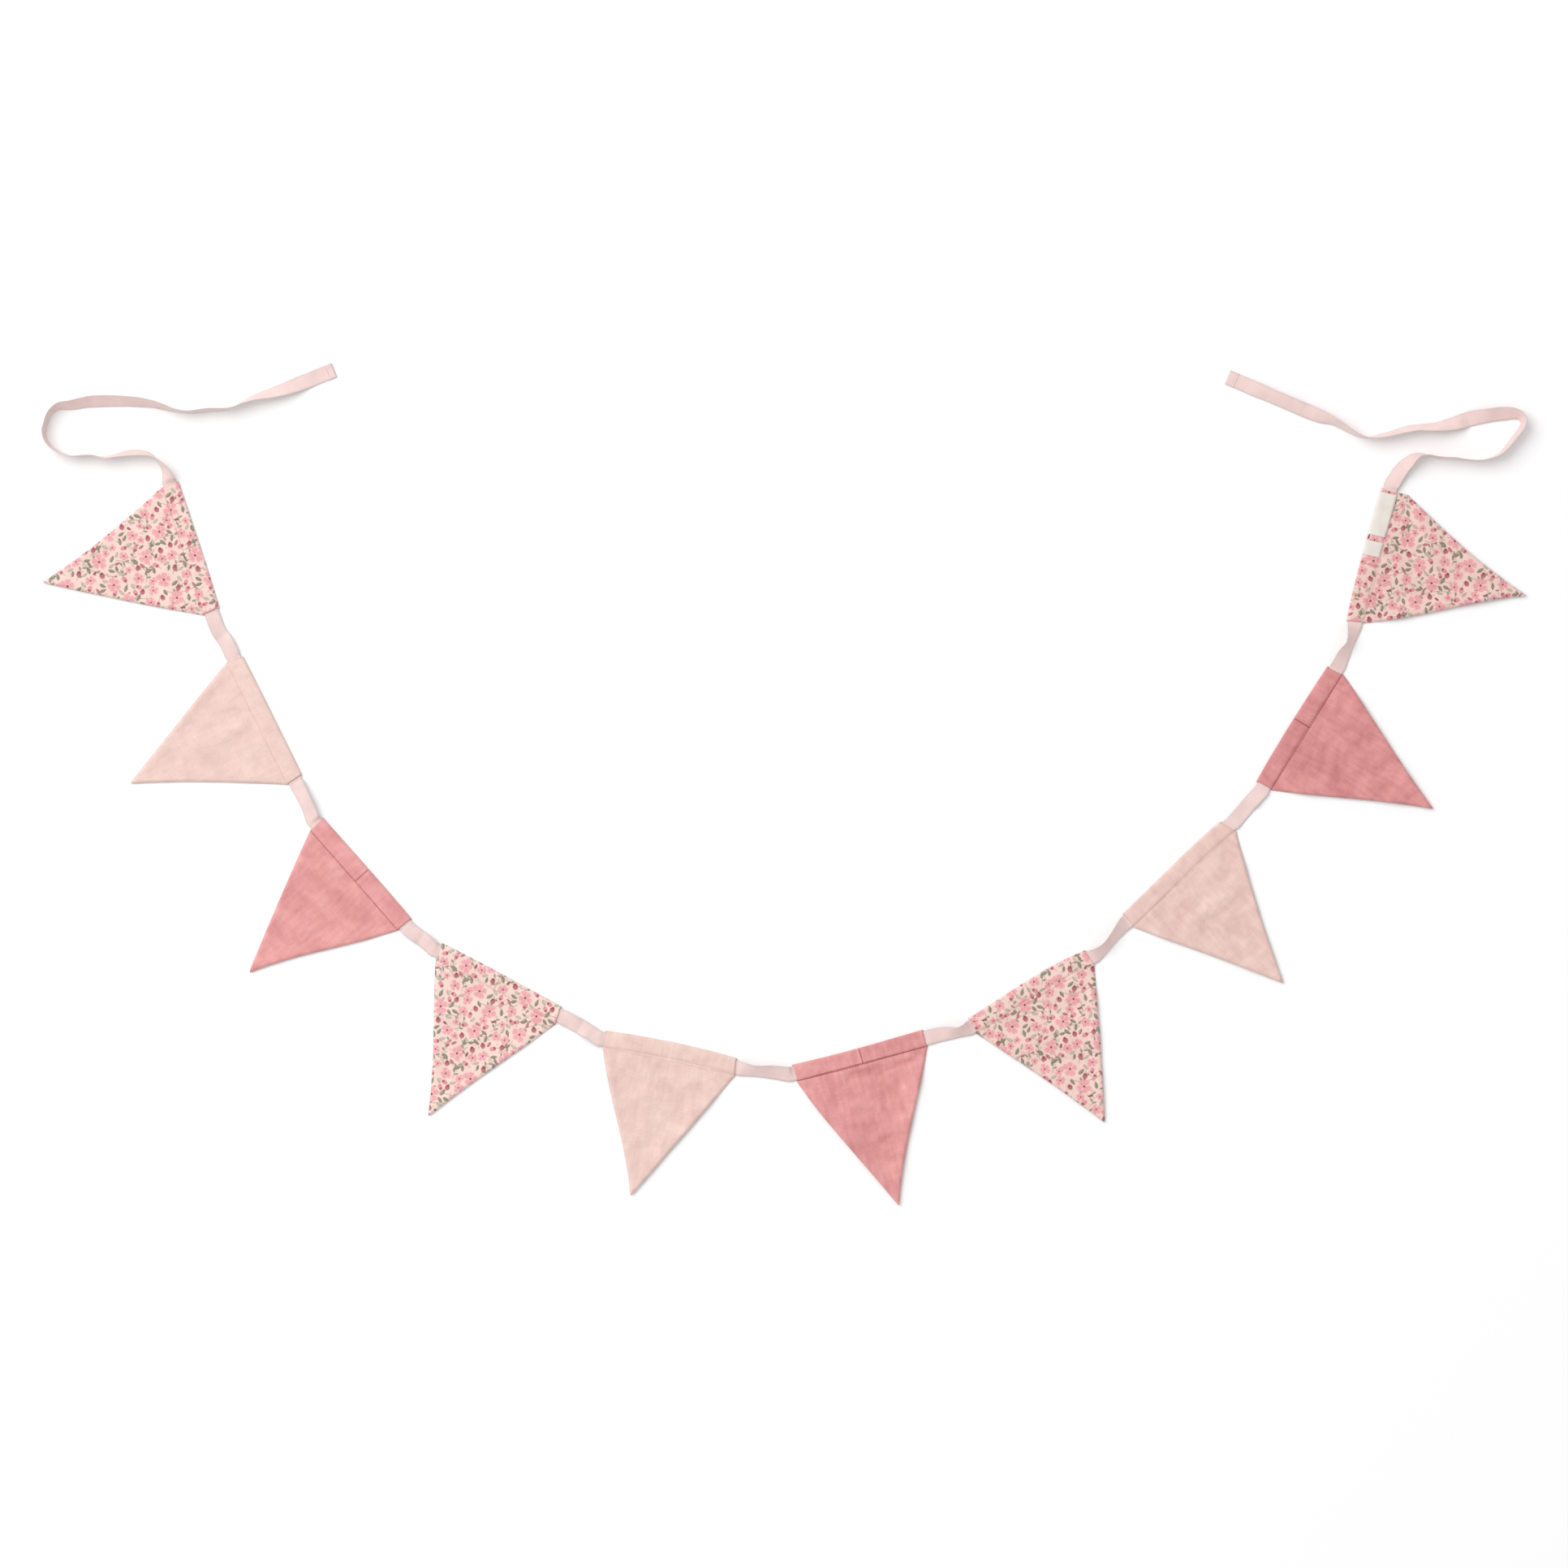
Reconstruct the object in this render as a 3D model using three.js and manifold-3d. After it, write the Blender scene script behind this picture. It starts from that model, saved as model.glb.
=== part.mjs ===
// Fabric bunting: ten sewn cloth pennants on one cotton tape, lying on a flat surface as a swag.
// Millimetres, +Z up. The surface is z = 0, +X runs along the swag from its left tie to its right tie.
import * as THREE from "three";
import Module from "manifold-3d";

const wasm = await Module();
wasm.setup();

// Tape
const tapeWidth = 15;
const tapeInChannelWidth = 14.4;
const tapeThickness = 1;
const hemLength = 9;
const hemThickness = 1.9;
const tieStep = 5;
const gapStep = 6;
const channelStep = 23;

// Channel along the top edge of each pennant, from the fold at v = 0 to the line of stitching
const clearance = 0.3;
const foldWall = 0.9;
const layerThickness = 1;
const seamDepth = 16.9;
const cavityFloor = layerThickness;
const cavityRoof = layerThickness + tapeThickness + 2 * clearance;
const cavityWidth = tapeInChannelWidth + 2 * clearance + 0.1;
const tapeDepth = foldWall + cavityWidth / 2;
const tapeLift = layerThickness + clearance;
const cavityOverrun = 8;
const straightRun = 3.5;
const mouthClearance = 1.5;

// Body of each pennant below the channel: two layers, thicker along the turned edges
const bodyHeight = 2.4;
const seamRidgeHeight = 2.75;
const rimHeight = 1.8;
const rimInset = 0.6;
const rimRounding = 0.7;
const soleInset = 0.3;
const bodyRowSpacing = 9.5;
const tipRow = 9;
const topBulgeReach = 70;

// Height of the cloth across the channel, at each depth from the fold
const channelProfile = [
  { v: 0.6, z: 2.9 },
  { v: 2.0, z: 3.35 },
  { v: 5.0, z: 3.5 },
  { v: 8.5, z: 3.5 },
  { v: 12.0, z: 3.5 },
  { v: 15.2, z: 3.3 },
  { v: 16.2, z: 3.05 },
  { v: 16.9, z: 2.0 },
  { v: 18.0, z: 2.2 },
  { v: 21.0, z: 2.5 },
];

// Places of the columns of points across a pennant, as a share of its width there
const columnShares = [0, 0.03, 0.12, 0.21, 0.3, 0.4, 0.5, 0.6, 0.7, 0.79, 0.88, 0.97, 1];

// Each pennant has its own frame: u runs along its top edge in the tape's direction, v points to its tip.
// x, y and heading place the start of the top edge. mouth is where a channel end meets the seam, and corner
// is where the long side starts. Each pair of bulges moves an edge outward at a third and at two thirds of
// its length.
const pennants = [
  { name: "flag_01", cloth: "floral", x: -604.7, y: 301.1, heading: -72.0, length: 131.7,
    mouthStart: 0.6, mouthEnd: 133.4, cornerEnd: [133.4, 17], tip: [53.4, 158.5],
    topBulge: [0.5, 0.5], startBulge: [-2.9, -3.4], endBulge: [1.0, 0.8] },
  { name: "flag_02", cloth: "blush", x: -540.1, y: 126.4, heading: -63.5, length: 130.8,
    mouthStart: -1.7, mouthEnd: 133.0, cornerEnd: [132.9, 17], tip: [62.4, 155.7],
    topBulge: [0.3, 0.2], startBulge: [0.3, 0.0], endBulge: [-2.3, -2.5] },
  { name: "flag_03", cloth: "rose", x: -460.3, y: -34.2, heading: -48.8, length: 133.5,
    mouthStart: 1.5, mouthEnd: 132.9, cornerEnd: [132.9, 17], tip: [67.6, 155.5],
    topBulge: [0.2, 0.4], startBulge: [0.8, 0.8], endBulge: [-0.2, -2.3] },
  { name: "flag_04", cloth: "floral", x: -341.0, y: -159.6, heading: -28.0, length: 134.0,
    mouthStart: 2.0, mouthEnd: 136.9, cornerEnd: [136.9, 17], tip: [68.5, 157.2],
    topBulge: [0.6, 0.4], startBulge: [-1.0, -2.2], endBulge: [-0.6, -1.4] },
  { name: "flag_05", cloth: "blush", x: -177.2, y: -246.9, heading: -11.9, length: 132.4,
    mouthStart: 0.5, mouthEnd: 134.2, cornerEnd: [133.9, 17], tip: [57.6, 154.7],
    topBulge: [2.0, 2.2], startBulge: [0.3, -2.0], endBulge: [0.2, 0.0] },
  { name: "flag_06", cloth: "rose", x: 8.9, y: -280.7, heading: 15.0, length: 133.8,
    mouthStart: 0.4, mouthEnd: 134.0, cornerEnd: [133.5, 17], tip: [66.0, 161.6],
    topBulge: [-1.2, -0.9], startBulge: [2.0, 0.8], endBulge: [-1.3, -3.2] },
  { name: "flag_07", cloth: "floral", x: 184.5, y: -234.4, heading: 30.3, length: 134.2,
    mouthStart: -0.2, mouthEnd: 135.4, cornerEnd: [134.3, 17], tip: [64.8, 156.3],
    topBulge: [1.8, 2.9], startBulge: [-1.6, -1.9], endBulge: [0.8, 0.8] },
  { name: "flag_08", cloth: "blush", x: 338.7, y: -129.8, heading: 43.4, length: 133.1,
    mouthStart: -1.1, mouthEnd: 138.0, cornerEnd: [137.9, 17], tip: [68.6, 158.9],
    topBulge: [0.4, 1.2], startBulge: [-0.8, -1.2], endBulge: [-2.2, -2.3] },
  { name: "flag_09", cloth: "rose", x: 472.2, y: 2.5, heading: 58.3, length: 134.1,
    mouthStart: 0.9, mouthEnd: 135.2, cornerEnd: [132.4, 23.9], tip: [69.0, 162.8],
    topBulge: [1.2, 1.0], startBulge: [-0.4, -1.8], endBulge: [-0.8, -1.5] },
  { name: "flag_10", cloth: "floral", x: 562.0, y: 162.8, heading: 75.2, length: 136.2,
    mouthStart: 2.8, mouthEnd: 136.0, cornerEnd: [136.5, 26.1], tip: [69.9, 165.5],
    topBulge: [1.5, 0.8], startBulge: [1.0, -1.4], endBulge: [-4.0, -4.4] },
];

// Soft troughs and ridges in the bodies. Each runs from start to end and fades sideways over its spread.
const creases = [
  { pennant: "flag_01", start: [96, 30], end: [70, 96], rise: -0.4, spread: 8 },
  { pennant: "flag_02", start: [48, 30], end: [46, 52], rise: -0.8, spread: 7 },
  { pennant: "flag_02", start: [20, 40], end: [38, 76], rise: -0.5, spread: 9 },
  { pennant: "flag_02", start: [60, 34], end: [62, 84], rise: 0.5, spread: 9 },
  { pennant: "flag_03", start: [110, 34], end: [109, 56], rise: -0.7, spread: 6 },
  { pennant: "flag_03", start: [36, 74], end: [70, 64], rise: -0.8, spread: 7 },
  { pennant: "flag_03", start: [60, 86], end: [78, 76], rise: 0.5, spread: 8 },
  { pennant: "flag_04", start: [34, 60], end: [92, 44], rise: 0.4, spread: 10 },
  { pennant: "flag_05", start: [54, 24], end: [57, 116], rise: 0.5, spread: 8 },
  { pennant: "flag_05", start: [28, 40], end: [90, 46], rise: -0.8, spread: 7 },
  { pennant: "flag_05", start: [14, 20], end: [18, 44], rise: -0.5, spread: 6 },
  { pennant: "flag_05", start: [104, 22], end: [104, 48], rise: -0.5, spread: 6 },
  { pennant: "flag_06", start: [50, 26], end: [114, 26], rise: -0.9, spread: 4 },
  { pennant: "flag_06", start: [78, 32], end: [78, 66], rise: -0.6, spread: 6 },
  { pennant: "flag_06", start: [40, 100], end: [76, 99], rise: -0.7, spread: 7 },
  { pennant: "flag_07", start: [56, 46], end: [72, 88], rise: -0.4, spread: 9 },
  { pennant: "flag_08", start: [24, 42], end: [46, 38], rise: -0.6, spread: 7 },
  { pennant: "flag_08", start: [44, 52], end: [98, 54], rise: 0.6, spread: 7 },
  { pennant: "flag_08", start: [48, 64], end: [94, 72], rise: -0.7, spread: 6 },
  { pennant: "flag_09", start: [44, 54], end: [64, 46], rise: -0.8, spread: 8 },
  { pennant: "flag_09", start: [42, 69], end: [92, 68], rise: -0.6, spread: 7 },
  { pennant: "flag_09", start: [54, 112], end: [78, 112], rise: -0.6, spread: 7 },
  { pennant: "flag_10", start: [88, 40], end: [66, 92], rise: 0.4, spread: 10 },
];

// Labels: from and to are places along the top edge, slant shifts the seam edge along it
const labels = [
  { name: "label_small", from: 68.5, to: 83.2, slant: 0.6 },
  { name: "label_long", from: 89.4, to: 133.2, slant: 0.4 },
];

// Route of the tape from the left free end to the first channel. roll is the twist about the tape's own line,
// 0 where it lies flat and 90 where it stands on an edge.
const leftTie = [
  { x: -449, y: 413, roll: 0 },
  { x: -463, y: 407.5, roll: 0 },
  { x: -478, y: 401.5, roll: 4 },
  { x: -498, y: 394, roll: 32 },
  { x: -515, y: 389, roll: 50 },
  { x: -528, y: 385.5, roll: 68 },
  { x: -540, y: 380.5, roll: 81 },
  { x: -555, y: 374, roll: 95 },
  { x: -570, y: 373, roll: 103 },
  { x: -583, y: 372, roll: 101 },
  { x: -595, y: 371, roll: 97 },
  { x: -609, y: 373, roll: 99 },
  { x: -619, y: 376, roll: 109 },
  { x: -630, y: 379, roll: 118 },
  { x: -645, y: 381, roll: 127 },
  { x: -661, y: 382, roll: 133 },
  { x: -682, y: 382, roll: 138 },
  { x: -696, y: 381, roll: 135 },
  { x: -711, y: 378, roll: 127 },
  { x: -724, y: 376.5, roll: 116 },
  { x: -732, y: 370, roll: 107 },
  { x: -736, y: 361, roll: 103 },
  { x: -738, y: 352, roll: 102 },
  { x: -736, y: 343, roll: 99 },
  { x: -730, y: 335.5, roll: 97 },
  { x: -721, y: 330, roll: 95 },
  { x: -711, y: 327, roll: 92 },
  { x: -699, y: 327, roll: 84 },
  { x: -689, y: 327.5, roll: 88 },
  { x: -678, y: 325.5, roll: 97 },
  { x: -665, y: 328, roll: 107 },
  { x: -654, y: 330, roll: 114 },
  { x: -643, y: 330.5, roll: 114 },
  { x: -634, y: 329, roll: 104 },
  { x: -628, y: 325.5, roll: 90 },
  { x: -621.2, y: 319.2, roll: 74 },
  { x: -616, y: 311, roll: 54 },
];

// Route of the tape from the last channel to the right free end
const rightTie = [
  { x: 612.5, y: 308.5, roll: -18 },
  { x: 617, y: 315, roll: -28 },
  { x: 622.5, y: 320.5, roll: -40 },
  { x: 628, y: 325.5, roll: -56 },
  { x: 635, y: 328.5, roll: -78 },
  { x: 643, y: 328, roll: -90 },
  { x: 653, y: 325.5, roll: -95 },
  { x: 668, y: 325, roll: -93 },
  { x: 680, y: 323.5, roll: -90 },
  { x: 692, y: 322.5, roll: -90 },
  { x: 705, y: 325, roll: -87 },
  { x: 714, y: 329, roll: -82 },
  { x: 721, y: 336, roll: -78 },
  { x: 728, y: 345, roll: -75 },
  { x: 735, y: 354, roll: -74 },
  { x: 738, y: 361, roll: -71 },
  { x: 735, y: 367, roll: -60 },
  { x: 728, y: 369.5, roll: -42 },
  { x: 717, y: 369.5, roll: -19 },
  { x: 701, y: 367.5, roll: -7 },
  { x: 685, y: 364.5, roll: 10 },
  { x: 670, y: 360, roll: 32 },
  { x: 656, y: 357, roll: 48 },
  { x: 646, y: 356, roll: 57 },
  { x: 633, y: 355.5, roll: 63 },
  { x: 620, y: 353.5, roll: 64 },
  { x: 606, y: 349.5, roll: 70 },
  { x: 594, y: 347, roll: 76 },
  { x: 583, y: 345.5, roll: 88 },
  { x: 575, y: 347, roll: 98 },
  { x: 566, y: 351.5, roll: 106 },
  { x: 556, y: 357.5, roll: 112 },
  { x: 547, y: 362.5, roll: 121 },
  { x: 536, y: 366.5, roll: 146 },
  { x: 522, y: 372, roll: 158 },
  { x: 505, y: 379.3, roll: 155 },
  { x: 482, y: 389, roll: 157 },
  { x: 464, y: 396.8, roll: 173 },
  { x: 455, y: 400.8, roll: 180 },
  { x: 443, y: 406, roll: 180 },
];

// How the tape lies between the pennants. share is the place along the gap, and side is the shift to the left
// of the tape's way.
const gapShapes = [
  { after: "flag_01", share: 0.36, side: -1.2, roll: -8 },
  { after: "flag_01", share: 0.7, side: 0.3, roll: 9 },
  { after: "flag_02", share: 0.3, side: 0.4, roll: 24 },
  { after: "flag_02", share: 0.68, side: 0.8, roll: 36 },
  { after: "flag_03", share: 0.36, side: 0.2, roll: -6 },
  { after: "flag_03", share: 0.68, side: 0.5, roll: 14 },
  { after: "flag_04", share: 0.33, side: 0.6, roll: 6 },
  { after: "flag_04", share: 0.68, side: 0.9, roll: -16 },
  { after: "flag_05", share: 0.3, side: -0.1, roll: 33 },
  { after: "flag_05", share: 0.66, side: 0.2, roll: 24 },
  { after: "flag_06", share: 0.34, side: 0.3, roll: 10 },
  { after: "flag_06", share: 0.7, side: 0, roll: 38 },
  { after: "flag_07", share: 0.3, side: -0.3, roll: 36 },
  { after: "flag_07", share: 0.68, side: -0.2, roll: 42 },
  { after: "flag_08", share: 0.34, side: 0, roll: 5 },
  { after: "flag_08", share: 0.68, side: 0.3, roll: -6 },
  { after: "flag_09", share: 0.34, side: -0.3, roll: 30 },
  { after: "flag_09", share: 0.66, side: 0.3, roll: 38 },
];

const clothFinishes = {
  floral: { color: 0xf3c4bf, roughness: 0.9 },
  blush: { color: 0xf3d3c8, roughness: 0.92 },
  rose: { color: 0xe49899, roughness: 0.92 },
  tape: { color: 0xeed2cd, roughness: 0.8 },
  label: { color: 0xebe6dc, roughness: 0.7 },
};

function finish(cloth) {
  return new THREE.MeshStandardMaterial({ ...clothFinishes[cloth], metalness: 0 });
}

// A smooth sideways shift along an edge: nothing at both ends and the two given values at the thirds
function bulge(share, [atThird, atTwoThirds]) {
  const first = 13.5 * share * (share - 2 / 3) * (share - 1);
  const second = -13.5 * share * (share - 1 / 3) * (share - 1);
  return atThird * first + atTwoThirds * second;
}

// Where the fold of a pennant lies, as its depth v at a place u along the top edge
function foldShift(pennant, u) {
  return -bulge(u / pennant.length, pennant.topBulge);
}

// The u of a pennant's outline at depth v, on the side where the tape goes in
function startSide(pennant, v) {
  if (v <= seamDepth) {
    return (pennant.mouthStart * v) / seamDepth;
  }
  const [tipU, tipV] = pennant.tip;
  const share = (v - seamDepth) / (tipV - seamDepth);
  return pennant.mouthStart + (tipU - pennant.mouthStart) * share - bulge(share, pennant.startBulge);
}

// The same on the side where the tape comes out
function endSide(pennant, v) {
  const { length, mouthEnd, cornerEnd, tip } = pennant;
  if (v <= seamDepth) {
    return length + ((mouthEnd - length) * v) / seamDepth;
  }
  if (v <= cornerEnd[1]) {
    return mouthEnd + ((cornerEnd[0] - mouthEnd) * (v - seamDepth)) / (cornerEnd[1] - seamDepth);
  }
  const share = (v - cornerEnd[1]) / (tip[1] - cornerEnd[1]);
  return cornerEnd[0] + (tip[0] - cornerEnd[0]) * share + bulge(share, pennant.endBulge);
}

// Distance from the point u, v to the line of a crease
function distanceToCrease(crease, u, v) {
  const line = new THREE.Line3(new THREE.Vector3(...crease.start, 0), new THREE.Vector3(...crease.end, 0));
  const point = new THREE.Vector3(u, v, 0);
  return point.distanceTo(line.closestPointToPoint(point, true, new THREE.Vector3()));
}

function creaseRise(pennant, u, v) {
  let rise = 0;
  for (const crease of creases) {
    if (crease.pennant === pennant.name) {
      rise += crease.rise * Math.exp(-((distanceToCrease(crease, u, v) / crease.spread) ** 2));
    }
  }
  return rise;
}

// Rows of points down a pennant: the channel's own profile, then even rows to just above the tip
function rowsOf(pennant) {
  const first = channelProfile[channelProfile.length - 1].v;
  const last = pennant.tip[1] - tipRow;
  const count = Math.round((last - first) / bodyRowSpacing);
  const bodyRows = Array.from({ length: count }, (_, i) => first + ((last - first) * (i + 1)) / count);
  return [
    ...channelProfile.map(({ v, z }) => ({ v, z, inChannel: v <= seamDepth })),
    ...bodyRows.map((v) => ({ v, z: bodyHeight, inChannel: false })),
  ];
}

// Height of the upper face at one point of a row. The second column in from each side is the turned edge.
function faceHeight(pennant, row, column, u) {
  const last = columnShares.length - 1;
  const atRim = column === 0 || column === last;
  if (row.inChannel) {
    return atRim ? row.z - 0.15 : row.z;
  }
  if (atRim) {
    return rimHeight;
  }
  const onTurnedEdge = column === 1 || column === last - 1;
  const base = onTurnedEdge ? Math.min(row.z + 0.3, seamRidgeHeight) : row.z;
  const inBody = row.v > channelProfile[channelProfile.length - 1].v - 0.1;
  return inBody ? Math.max(base + creaseRise(pennant, u, row.v), rimHeight - 0.2) : base;
}

// The loop of points moved outward by a distance, at one height
function ring(loop, outward, z) {
  return loop.map((point, i) => {
    const before = loop[(i + loop.length - 1) % loop.length];
    const after = loop[(i + 1) % loop.length];
    const into = new THREE.Vector2(point.x - before.x, point.y - before.y).normalize();
    const away = new THREE.Vector2(after.x - point.x, after.y - point.y).normalize();
    const normal = new THREE.Vector2(into.y + away.y, -into.x - away.x).normalize();
    const spread = outward / Math.max(normal.dot(new THREE.Vector2(into.y, -into.x)), 0.6);
    const height = typeof z === "function" ? z(point) : z;
    return new THREE.Vector3(point.x + normal.x * spread, point.y + normal.y * spread, height);
  });
}

// Turns the faces round where they point inward
function facingOut(points, faces) {
  let volume = 0;
  for (const [a, b, c] of faces) {
    volume += points[a].dot(new THREE.Vector3().crossVectors(points[b], points[c]));
  }
  return volume > 0 ? faces : faces.map(([a, b, c]) => [a, c, b]);
}

// A closed solid that carries one section along a line of stations. place gives a section point at a station.
function sweep(outline, stations, place) {
  const section = THREE.ShapeUtils.isClockWise(outline) ? [...outline].reverse() : outline;
  const points = stations.flatMap((station) => section.map((corner) => place(corner, station)));
  const count = section.length;
  const faces = [];
  for (let s = 0; s + 1 < stations.length; s += 1) {
    for (let c = 0; c < count; c += 1) {
      const here = s * count + c;
      const beside = s * count + ((c + 1) % count);
      faces.push([here, beside, beside + count], [here, beside + count, here + count]);
    }
  }
  const cap = THREE.ShapeUtils.triangulateShape(section, []);
  const end = (stations.length - 1) * count;
  for (const [a, b, c] of cap) {
    faces.push([a, c, b], [end + a, end + b, end + c]);
  }
  return { points, faces: facingOut(points, faces) };
}

function toManifold({ points, faces }) {
  return new wasm.Manifold(new wasm.Mesh({
    numProp: 3,
    vertProperties: new Float32Array(points.flatMap((p) => [p.x, p.y, p.z])),
    triVerts: new Uint32Array(faces.flat()),
  }));
}

function toGeometry(positions, triangles) {
  const geometry = new THREE.BufferGeometry();
  geometry.setAttribute("position", new THREE.BufferAttribute(new Float32Array(positions), 3));
  geometry.setIndex(new THREE.BufferAttribute(new Uint32Array(triangles), 1));
  geometry.computeVertexNormals();
  return geometry;
}

function meshOf(name, cloth, geometry) {
  const mesh = new THREE.Mesh(geometry, finish(cloth));
  mesh.name = name;
  return mesh;
}

// The closed outer shape of a pennant: upper face, rounded rim and flat underside
function pennantShell(pennant) {
  const rows = rowsOf(pennant);
  const points = [];
  for (const row of rows) {
    const left = startSide(pennant, row.v) + rimInset;
    const right = endSide(pennant, row.v) - rimInset;
    const fade = Math.max(0, Math.min(1, (topBulgeReach - row.v) / (topBulgeReach - seamDepth)));
    columnShares.forEach((share, column) => {
      const u = left + (right - left) * share;
      const v = row.v + foldShift(pennant, u) * fade;
      points.push(new THREE.Vector3(u, -v, faceHeight(pennant, row, column, u)));
    });
  }
  const tip = points.push(new THREE.Vector3(pennant.tip[0], -pennant.tip[1] + 2 * rimInset, rimHeight)) - 1;

  const columns = columnShares.length;
  const faces = [];
  for (let r = 0; r + 1 < rows.length; r += 1) {
    for (let c = 0; c + 1 < columns; c += 1) {
      const here = r * columns + c;
      faces.push([here, here + columns, here + columns + 1], [here, here + columns + 1, here + 1]);
    }
  }
  const lastRow = (rows.length - 1) * columns;
  for (let c = 0; c + 1 < columns; c += 1) {
    faces.push([lastRow + c, tip, lastRow + c + 1]);
  }

  const down = rows.map((_, r) => r * columns);
  const up = rows.map((_, r) => r * columns + columns - 1).reverse();
  const along = Array.from({ length: columns - 2 }, (_, c) => columns - 2 - c);
  const loop = [...down, tip, ...up, ...along];
  const rim = loop.map((i) => points[i]);
  const side = ring(rim, rimInset + rimRounding, (point) => point.z / 2);
  const sole = ring(rim, rimInset + rimRounding - soleInset, 0);
  const sideStart = points.length;
  points.push(...side, ...sole);
  const soleStart = sideStart + loop.length;
  loop.forEach((top, i) => {
    const j = (i + 1) % loop.length;
    faces.push([top, sideStart + i, sideStart + j], [top, sideStart + j, loop[j]]);
    faces.push([sideStart + i, soleStart + i, soleStart + j], [sideStart + i, soleStart + j, sideStart + j]);
  });
  const floor = THREE.ShapeUtils.triangulateShape(sole.map((p) => new THREE.Vector2(p.x, p.y)), []);
  for (const [a, b, c] of floor) {
    faces.push([soleStart + a, soleStart + c, soleStart + b]);
  }
  return { points, faces };
}

// Even stations from one u to another
function stationsBetween(from, to, count) {
  return Array.from({ length: count + 1 }, (_, i) => from + ((to - from) * i) / count);
}

// The space for the tape, open at both ends of the channel
function channelCavity(pennant) {
  const section = [
    new THREE.Vector2(foldWall, cavityFloor),
    new THREE.Vector2(foldWall + cavityWidth, cavityFloor),
    new THREE.Vector2(foldWall + cavityWidth, cavityRoof),
    new THREE.Vector2(foldWall, cavityRoof),
  ];
  const stations = stationsBetween(-cavityOverrun, pennant.length + cavityOverrun, 8);
  return sweep(section, stations, (corner, u) =>
    new THREE.Vector3(u, -(corner.x + foldShift(pennant, u)), corner.y));
}

function makePennant(pennant) {
  const shell = toManifold(pennantShell(pennant));
  const cavity = toManifold(channelCavity(pennant));
  const { vertProperties, triVerts } = shell.subtract(cavity).getMesh();
  return meshOf(pennant.name, pennant.cloth, toGeometry(vertProperties, triVerts));
}

// A label lies on the channel, from the seam over the fold and down its outer side
function makeLabel(label, pennant) {
  const inner = [
    [16.0, 3.42], [15.1, 3.62], [12.0, 3.82], [5.0, 3.82],
    [1.85, 3.66], [0.2, 3.2], [-1.02, 1.5], [-1.02, 0.5],
  ];
  const outer = [
    [-2.0, 0.5], [-2.0, 1.7], [-1.0, 3.8], [1.3, 4.6],
    [5.0, 4.82], [12.0, 4.82], [15.3, 4.6], [16.2, 4.38],
  ];
  const section = [...inner, ...outer].map(([v, z]) => new THREE.Vector2(v, z));
  const solid = sweep(section, stationsBetween(label.from, label.to, 4), (corner, station) => {
    const u = station + (label.slant * corner.x) / seamDepth;
    return new THREE.Vector3(u, -(corner.x + foldShift(pennant, u)), corner.y);
  });
  const positions = solid.points.flatMap((p) => [p.x, p.y, p.z]);
  return meshOf(label.name, "label", toGeometry(positions, solid.faces.flat()));
}

// A place on the tape's line inside or just outside a pennant's channel
function channelNode(pennant, u, shape) {
  const turn = THREE.MathUtils.degToRad(pennant.heading);
  const v = tapeDepth + foldShift(pennant, u);
  return {
    x: pennant.x + u * Math.cos(turn) + v * Math.sin(turn),
    y: pennant.y + u * Math.sin(turn) - v * Math.cos(turn),
    lift: tapeLift,
    ...shape,
  };
}

function mouthPlaces(pennant) {
  return {
    start: Math.min(0, pennant.mouthStart) - mouthClearance,
    end: Math.max(pennant.length, pennant.mouthEnd) + mouthClearance,
  };
}

function channelRoute(pennant) {
  const { start, end } = mouthPlaces(pennant);
  return stationsBetween(start, end, 6).map((u) => {
    const step = u < end ? channelStep : gapStep;
    return channelNode(pennant, u, { roll: 0, width: tapeInChannelWidth, step });
  });
}

// Just outside a mouth the tape has half the roll that it has further on
function outside(pennant, u, roll) {
  return channelNode(pennant, u, { roll: roll / 2, width: tapeWidth, step: gapStep });
}

// The tape between two channels, which comes down to the surface
function gapRoute(before, after) {
  const shapes = gapShapes.filter((shape) => shape.after === before.name);
  const from = outside(before, mouthPlaces(before).end + straightRun, shapes[0].roll);
  const to = outside(after, mouthPlaces(after).start - straightRun, shapes[shapes.length - 1].roll);
  const way = new THREE.Vector2(to.x - from.x, to.y - from.y);
  const left = new THREE.Vector2(-way.y, way.x).normalize();
  const between = shapes.map(({ share, side, roll }) => ({
    x: from.x + way.x * share + left.x * side,
    y: from.y + way.y * share + left.y * side,
    roll,
    lift: 0,
    width: tapeWidth,
    step: gapStep,
  }));
  return [from, ...between, to];
}

function tieRoute(rows) {
  return rows.map((row) => ({ ...row, lift: 0, width: tapeWidth, step: tieStep }));
}

// The whole route from free end to free end
function tapeRoute() {
  const first = pennants[0];
  const last = pennants[pennants.length - 1];
  const route = [
    ...tieRoute(leftTie),
    outside(first, mouthPlaces(first).start - straightRun, leftTie[leftTie.length - 1].roll),
  ];
  pennants.forEach((pennant, i) => {
    if (i > 0) {
      route.push(...gapRoute(pennants[i - 1], pennant));
    }
    route.push(...channelRoute(pennant));
  });
  route.push(outside(last, mouthPlaces(last).end + straightRun, rightTie[0].roll), ...tieRoute(rightTie));
  return route;
}

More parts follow.
